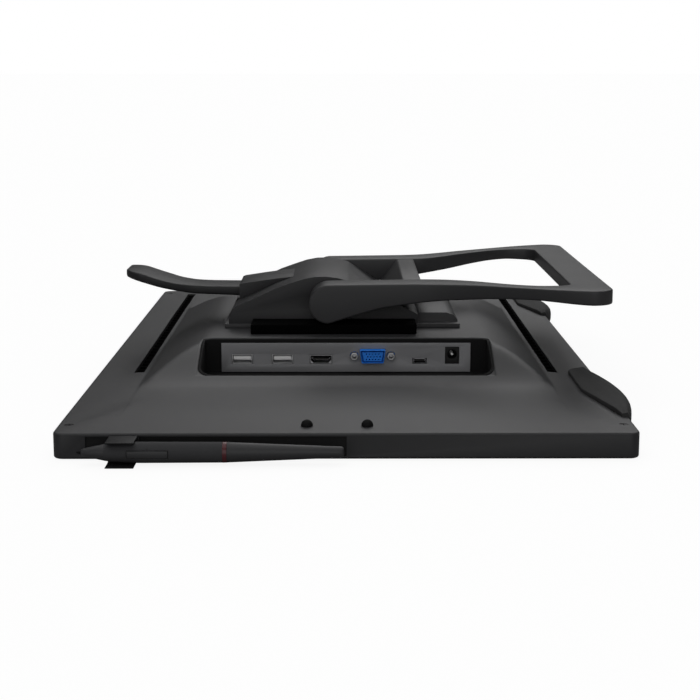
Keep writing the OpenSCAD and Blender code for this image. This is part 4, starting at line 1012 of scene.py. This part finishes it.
class PENDISPLAY_OT_dress(bpy.types.Operator):
    """Dresses every node of the frame that is shown as it is"""

    bl_idname = "pen_display.dress"
    bl_label = "Frame nodes"

    def execute(self, context):
        looks = {
            "front_frame": ("wall", 0.0004), "cover_glass": ("glass", 0.0),
            "screen_panel": ("panel", 0.0), "backlight": ("light", 0.0),
            # the shield plate behind the vents wears the near-black recess finish as painted shade seen
            # through them
            "pen_sensor": ("board", 0.0), "shield_plate": ("recess", 0.0),
            "port_bay": ("recess", 0.0004), "port_plate": ("plate", 0.0003),
            "main_board": ("board", 0.0), "data_port_1": ("data", 0.0002),
            "data_port_2": ("data", 0.0002), "picture_port": ("picture", 0.0002),
            "video_shell": ("video", 0.0002), "video_insert": ("video", 0.0),
            "video_studs": ("stud", 0.0002), "oval_port": ("oval", 0.0001),
            # the vents wear the gap finish, whose extra-dark colour is painted shade
            "power_jack": ("jack", 0.0003), "vent_top": ("gap", 0.0), "vent_bottom": ("gap", 0.0),
            "case_screws": ("screw", 0.0002), "slope_plugs": ("recess", 0.0003),
            "pen_cradle": ("cradle", 0.0002), "key_boards": ("board", 0.0),
            "encoders": ("screw", 0.0), "power_switch": ("screw", 0.0),
            "stand_base": ("shell", 0.0008), "base_screws": ("steel", 0.0),
            # the hinge beds wear the gap finish: black parts with painted shade
            "hinge_beds": ("gap", 0.0006), "hub_shell": ("hub", 0.0014),
            "lever_housing": ("hub", 0.0009), "bushes": ("bronze", 0.0003),
            "lever_spring": ("steel", 0.0), "lever_pin": ("steel", 0.0003),
            "hinge_shaft": ("steel", 0.0004), "brake_drum": ("steel", 0.0004),
            "leg_pad": ("rubber", 0.0005), "brake_shoe": ("lining", 0.0),
            "pen_grip": ("grip", 0.0002), "pen_barrel": ("pen", 0.0002),
            "pen_ring": ("ring", 0.0001), "pen_cone": ("nose", 0.0002),
            "pen_core": ("bronze", 0.0), "pen_nib": ("recess", 0.0), "pen_switch": ("pen", 0.0003),
            "dial_near": ("dial", 0.0004), "dial_far": ("dial", 0.0004),
            "power_button": ("key", 0.0003), "back_cover": ("shell", 0.0),
            "leg_frame": ("metal", 0.0), "release_lever": ("paddle", 0.0),
            "foot_near": ("rubber", 0.0), "foot_far": ("rubber", 0.0),
        }
        for side in ("near", "far"):
            looks.update({f"key_{side}_{k}": ("key", 0.0004) for k in range(1, 5)})
        missing = sorted(set(NODES) - set(looks))
        if missing:
            raise RuntimeError(f"no finish for {missing}")
        for node, (name, edge) in looks.items():
            dress(node, FINISHES[name], edge)
        return {"FINISHED"}


class PENDISPLAY_OT_stage(bpy.types.Operator):
    """Sets the floor, the light and the camera"""

    bl_idname = "pen_display.stage"
    bl_label = "Stage"

    def execute(self, context):
        scene, stage = context.scene, settings()[2]
        scene.view_settings.view_transform = "Standard"
        make_floor()
        make_world(scene)
        suns = {  # where each light shines, its strength, and how wide it is in degrees
            "behind": ((-0.20, -1.3, -1.0), stage.back_light, 38.0),
            "overhead": ((0.10, -0.05, -1.0), stage.top_light, 70.0),
            "fill": ((0.05, 1.0, -0.22), stage.front_light, 60.0),
        }
        for name, (aim, strength, spread) in suns.items():
            add_sun(name, aim, strength, math.radians(spread))
        lens = bpy.data.cameras.new("photo_camera")
        camera = bpy.data.objects.new("photo_camera", lens)
        scene.collection.objects.link(camera)
        lens.sensor_width = 36.0
        lens.lens = lens.sensor_width * stage.focal_px / PHOTO_SIZE
        camera.location = (stage.camera_x, stage.camera_y, stage.camera_z)
        camera.rotation_euler = (math.pi / 2 - stage.pitch, 0.0, -stage.yaw)
        lens.clip_start, lens.clip_end = 0.01, 100.0
        scene.camera = camera
        return {"FINISHED"}


def make_floor():
    """Large pale floor: to the camera nearly white with the part's soft shadow, to other rays a grey
    card."""
    side, glow_share, card, white = 60.0, 0.8, (0.30, 0.30, 0.30), (0.80, 0.80, 0.80)
    mesh = bpy.data.meshes.new("floor")
    corners = [(-side, -side, 0), (side, -side, 0), (side, side, 0), (-side, side, 0)]
    mesh.from_pydata(corners, [], [(0, 1, 2, 3)])
    floor = bpy.data.objects.new("floor", mesh)
    bpy.context.scene.collection.objects.link(floor)
    f = Finish("pale_floor")
    seen = f.node("ShaderNodeLightPath", out="Is Camera Ray")
    f.set(Base_Color=f.blend(seen, card, white), Roughness=1.0, Specular_IOR_Level=0.0)
    glow = f.node("ShaderNodeEmission", {}, {"Strength": settings()[2].floor_glow})
    plain = Wire(f.tree, f.main.outputs[0])
    both = f.node("ShaderNodeMixShader", {}, {0: seen * glow_share, 1: plain, 2: glow})
    f.tree.links.new(both.socket, f.tree.nodes["Material Output"].inputs["Surface"])
    mesh.materials.append(f.material)


def make_world(scene):
    """Even pale surroundings: white to the camera, dimmer as light and in reflections."""
    stage = settings()[2]
    world = bpy.data.worlds.new("studio")
    world.use_nodes = True
    scene.world = world
    tree = world.node_tree
    path = tree.nodes.new("ShaderNodeLightPath")
    back = tree.nodes["Background"]
    back.inputs["Color"].default_value = (1.0, 1.0, 1.0, 1.0)
    seen = Wire(tree, path.outputs["Is Camera Ray"])
    glossy = Wire(tree, path.outputs["Is Glossy Ray"])
    strength = stage.sky + seen * (1.0 - stage.sky) + glossy * (stage.mirror - stage.sky)
    tree.links.new(strength.socket, back.inputs["Strength"])


def add_sun(name, aim, strength, spread):
    """Soft sun that shines along the aim, with the same strength everywhere."""
    lamp = bpy.data.lights.new(name, "SUN")
    lamp.energy, lamp.angle = strength, spread
    obj = bpy.data.objects.new(name, lamp)
    bpy.context.scene.collection.objects.link(obj)
    way = np.array(aim, float)
    flat = math.hypot(way[0], way[1])
    obj.rotation_euler = (math.pi / 2 - math.atan2(-way[2], flat), 0.0, math.atan2(-way[0], way[1]))


class PENDISPLAY_PT_panel(bpy.types.Panel):
    """Sidebar list of the settings and the steps"""

    bl_label = "Pen Display"
    bl_idname = "PENDISPLAY_PT_panel"
    bl_space_type = "VIEW_3D"
    bl_region_type = "UI"
    bl_category = "Pen Display"

    def draw(self, context):
        for step in STEPS:
            self.layout.operator(step.bl_idname)
        for group in settings():
            column = self.layout.column(align=True)
            for key in group.bl_rna.properties.keys():
                if key not in {"rna_type", "name"}:
                    column.prop(group, key)


GROUPS = {
    "pen_display_sizes": PenDisplaySizes,
    "pen_display_colours": PenDisplayColours,
    "pen_display_stage": PenDisplayStage,
}
STEPS = (
    PENDISPLAY_OT_finishes,
    PENDISPLAY_OT_cover,
    PENDISPLAY_OT_leg,
    PENDISPLAY_OT_lever,
    PENDISPLAY_OT_feet,
    PENDISPLAY_OT_dress,
    PENDISPLAY_OT_stage,
)


def register():
    """Adds the classes and the scene's settings."""
    for key, group in GROUPS.items():
        bpy.utils.register_class(group)
        setattr(bpy.types.Scene, key, bpy.props.PointerProperty(type=group))
    for step in (*STEPS, PENDISPLAY_PT_panel):
        bpy.utils.register_class(step)


def unregister():
    """Takes them away again."""
    for step in reversed((*STEPS, PENDISPLAY_PT_panel)):
        bpy.utils.unregister_class(step)
    for key, group in GROUPS.items():
        delattr(bpy.types.Scene, key)
        bpy.utils.unregister_class(group)


def main():
    register()
    for step in STEPS:
        area, name = step.bl_idname.split(".")
        getattr(getattr(bpy.ops, area), name)()


if __name__ == "__main__":
    main()
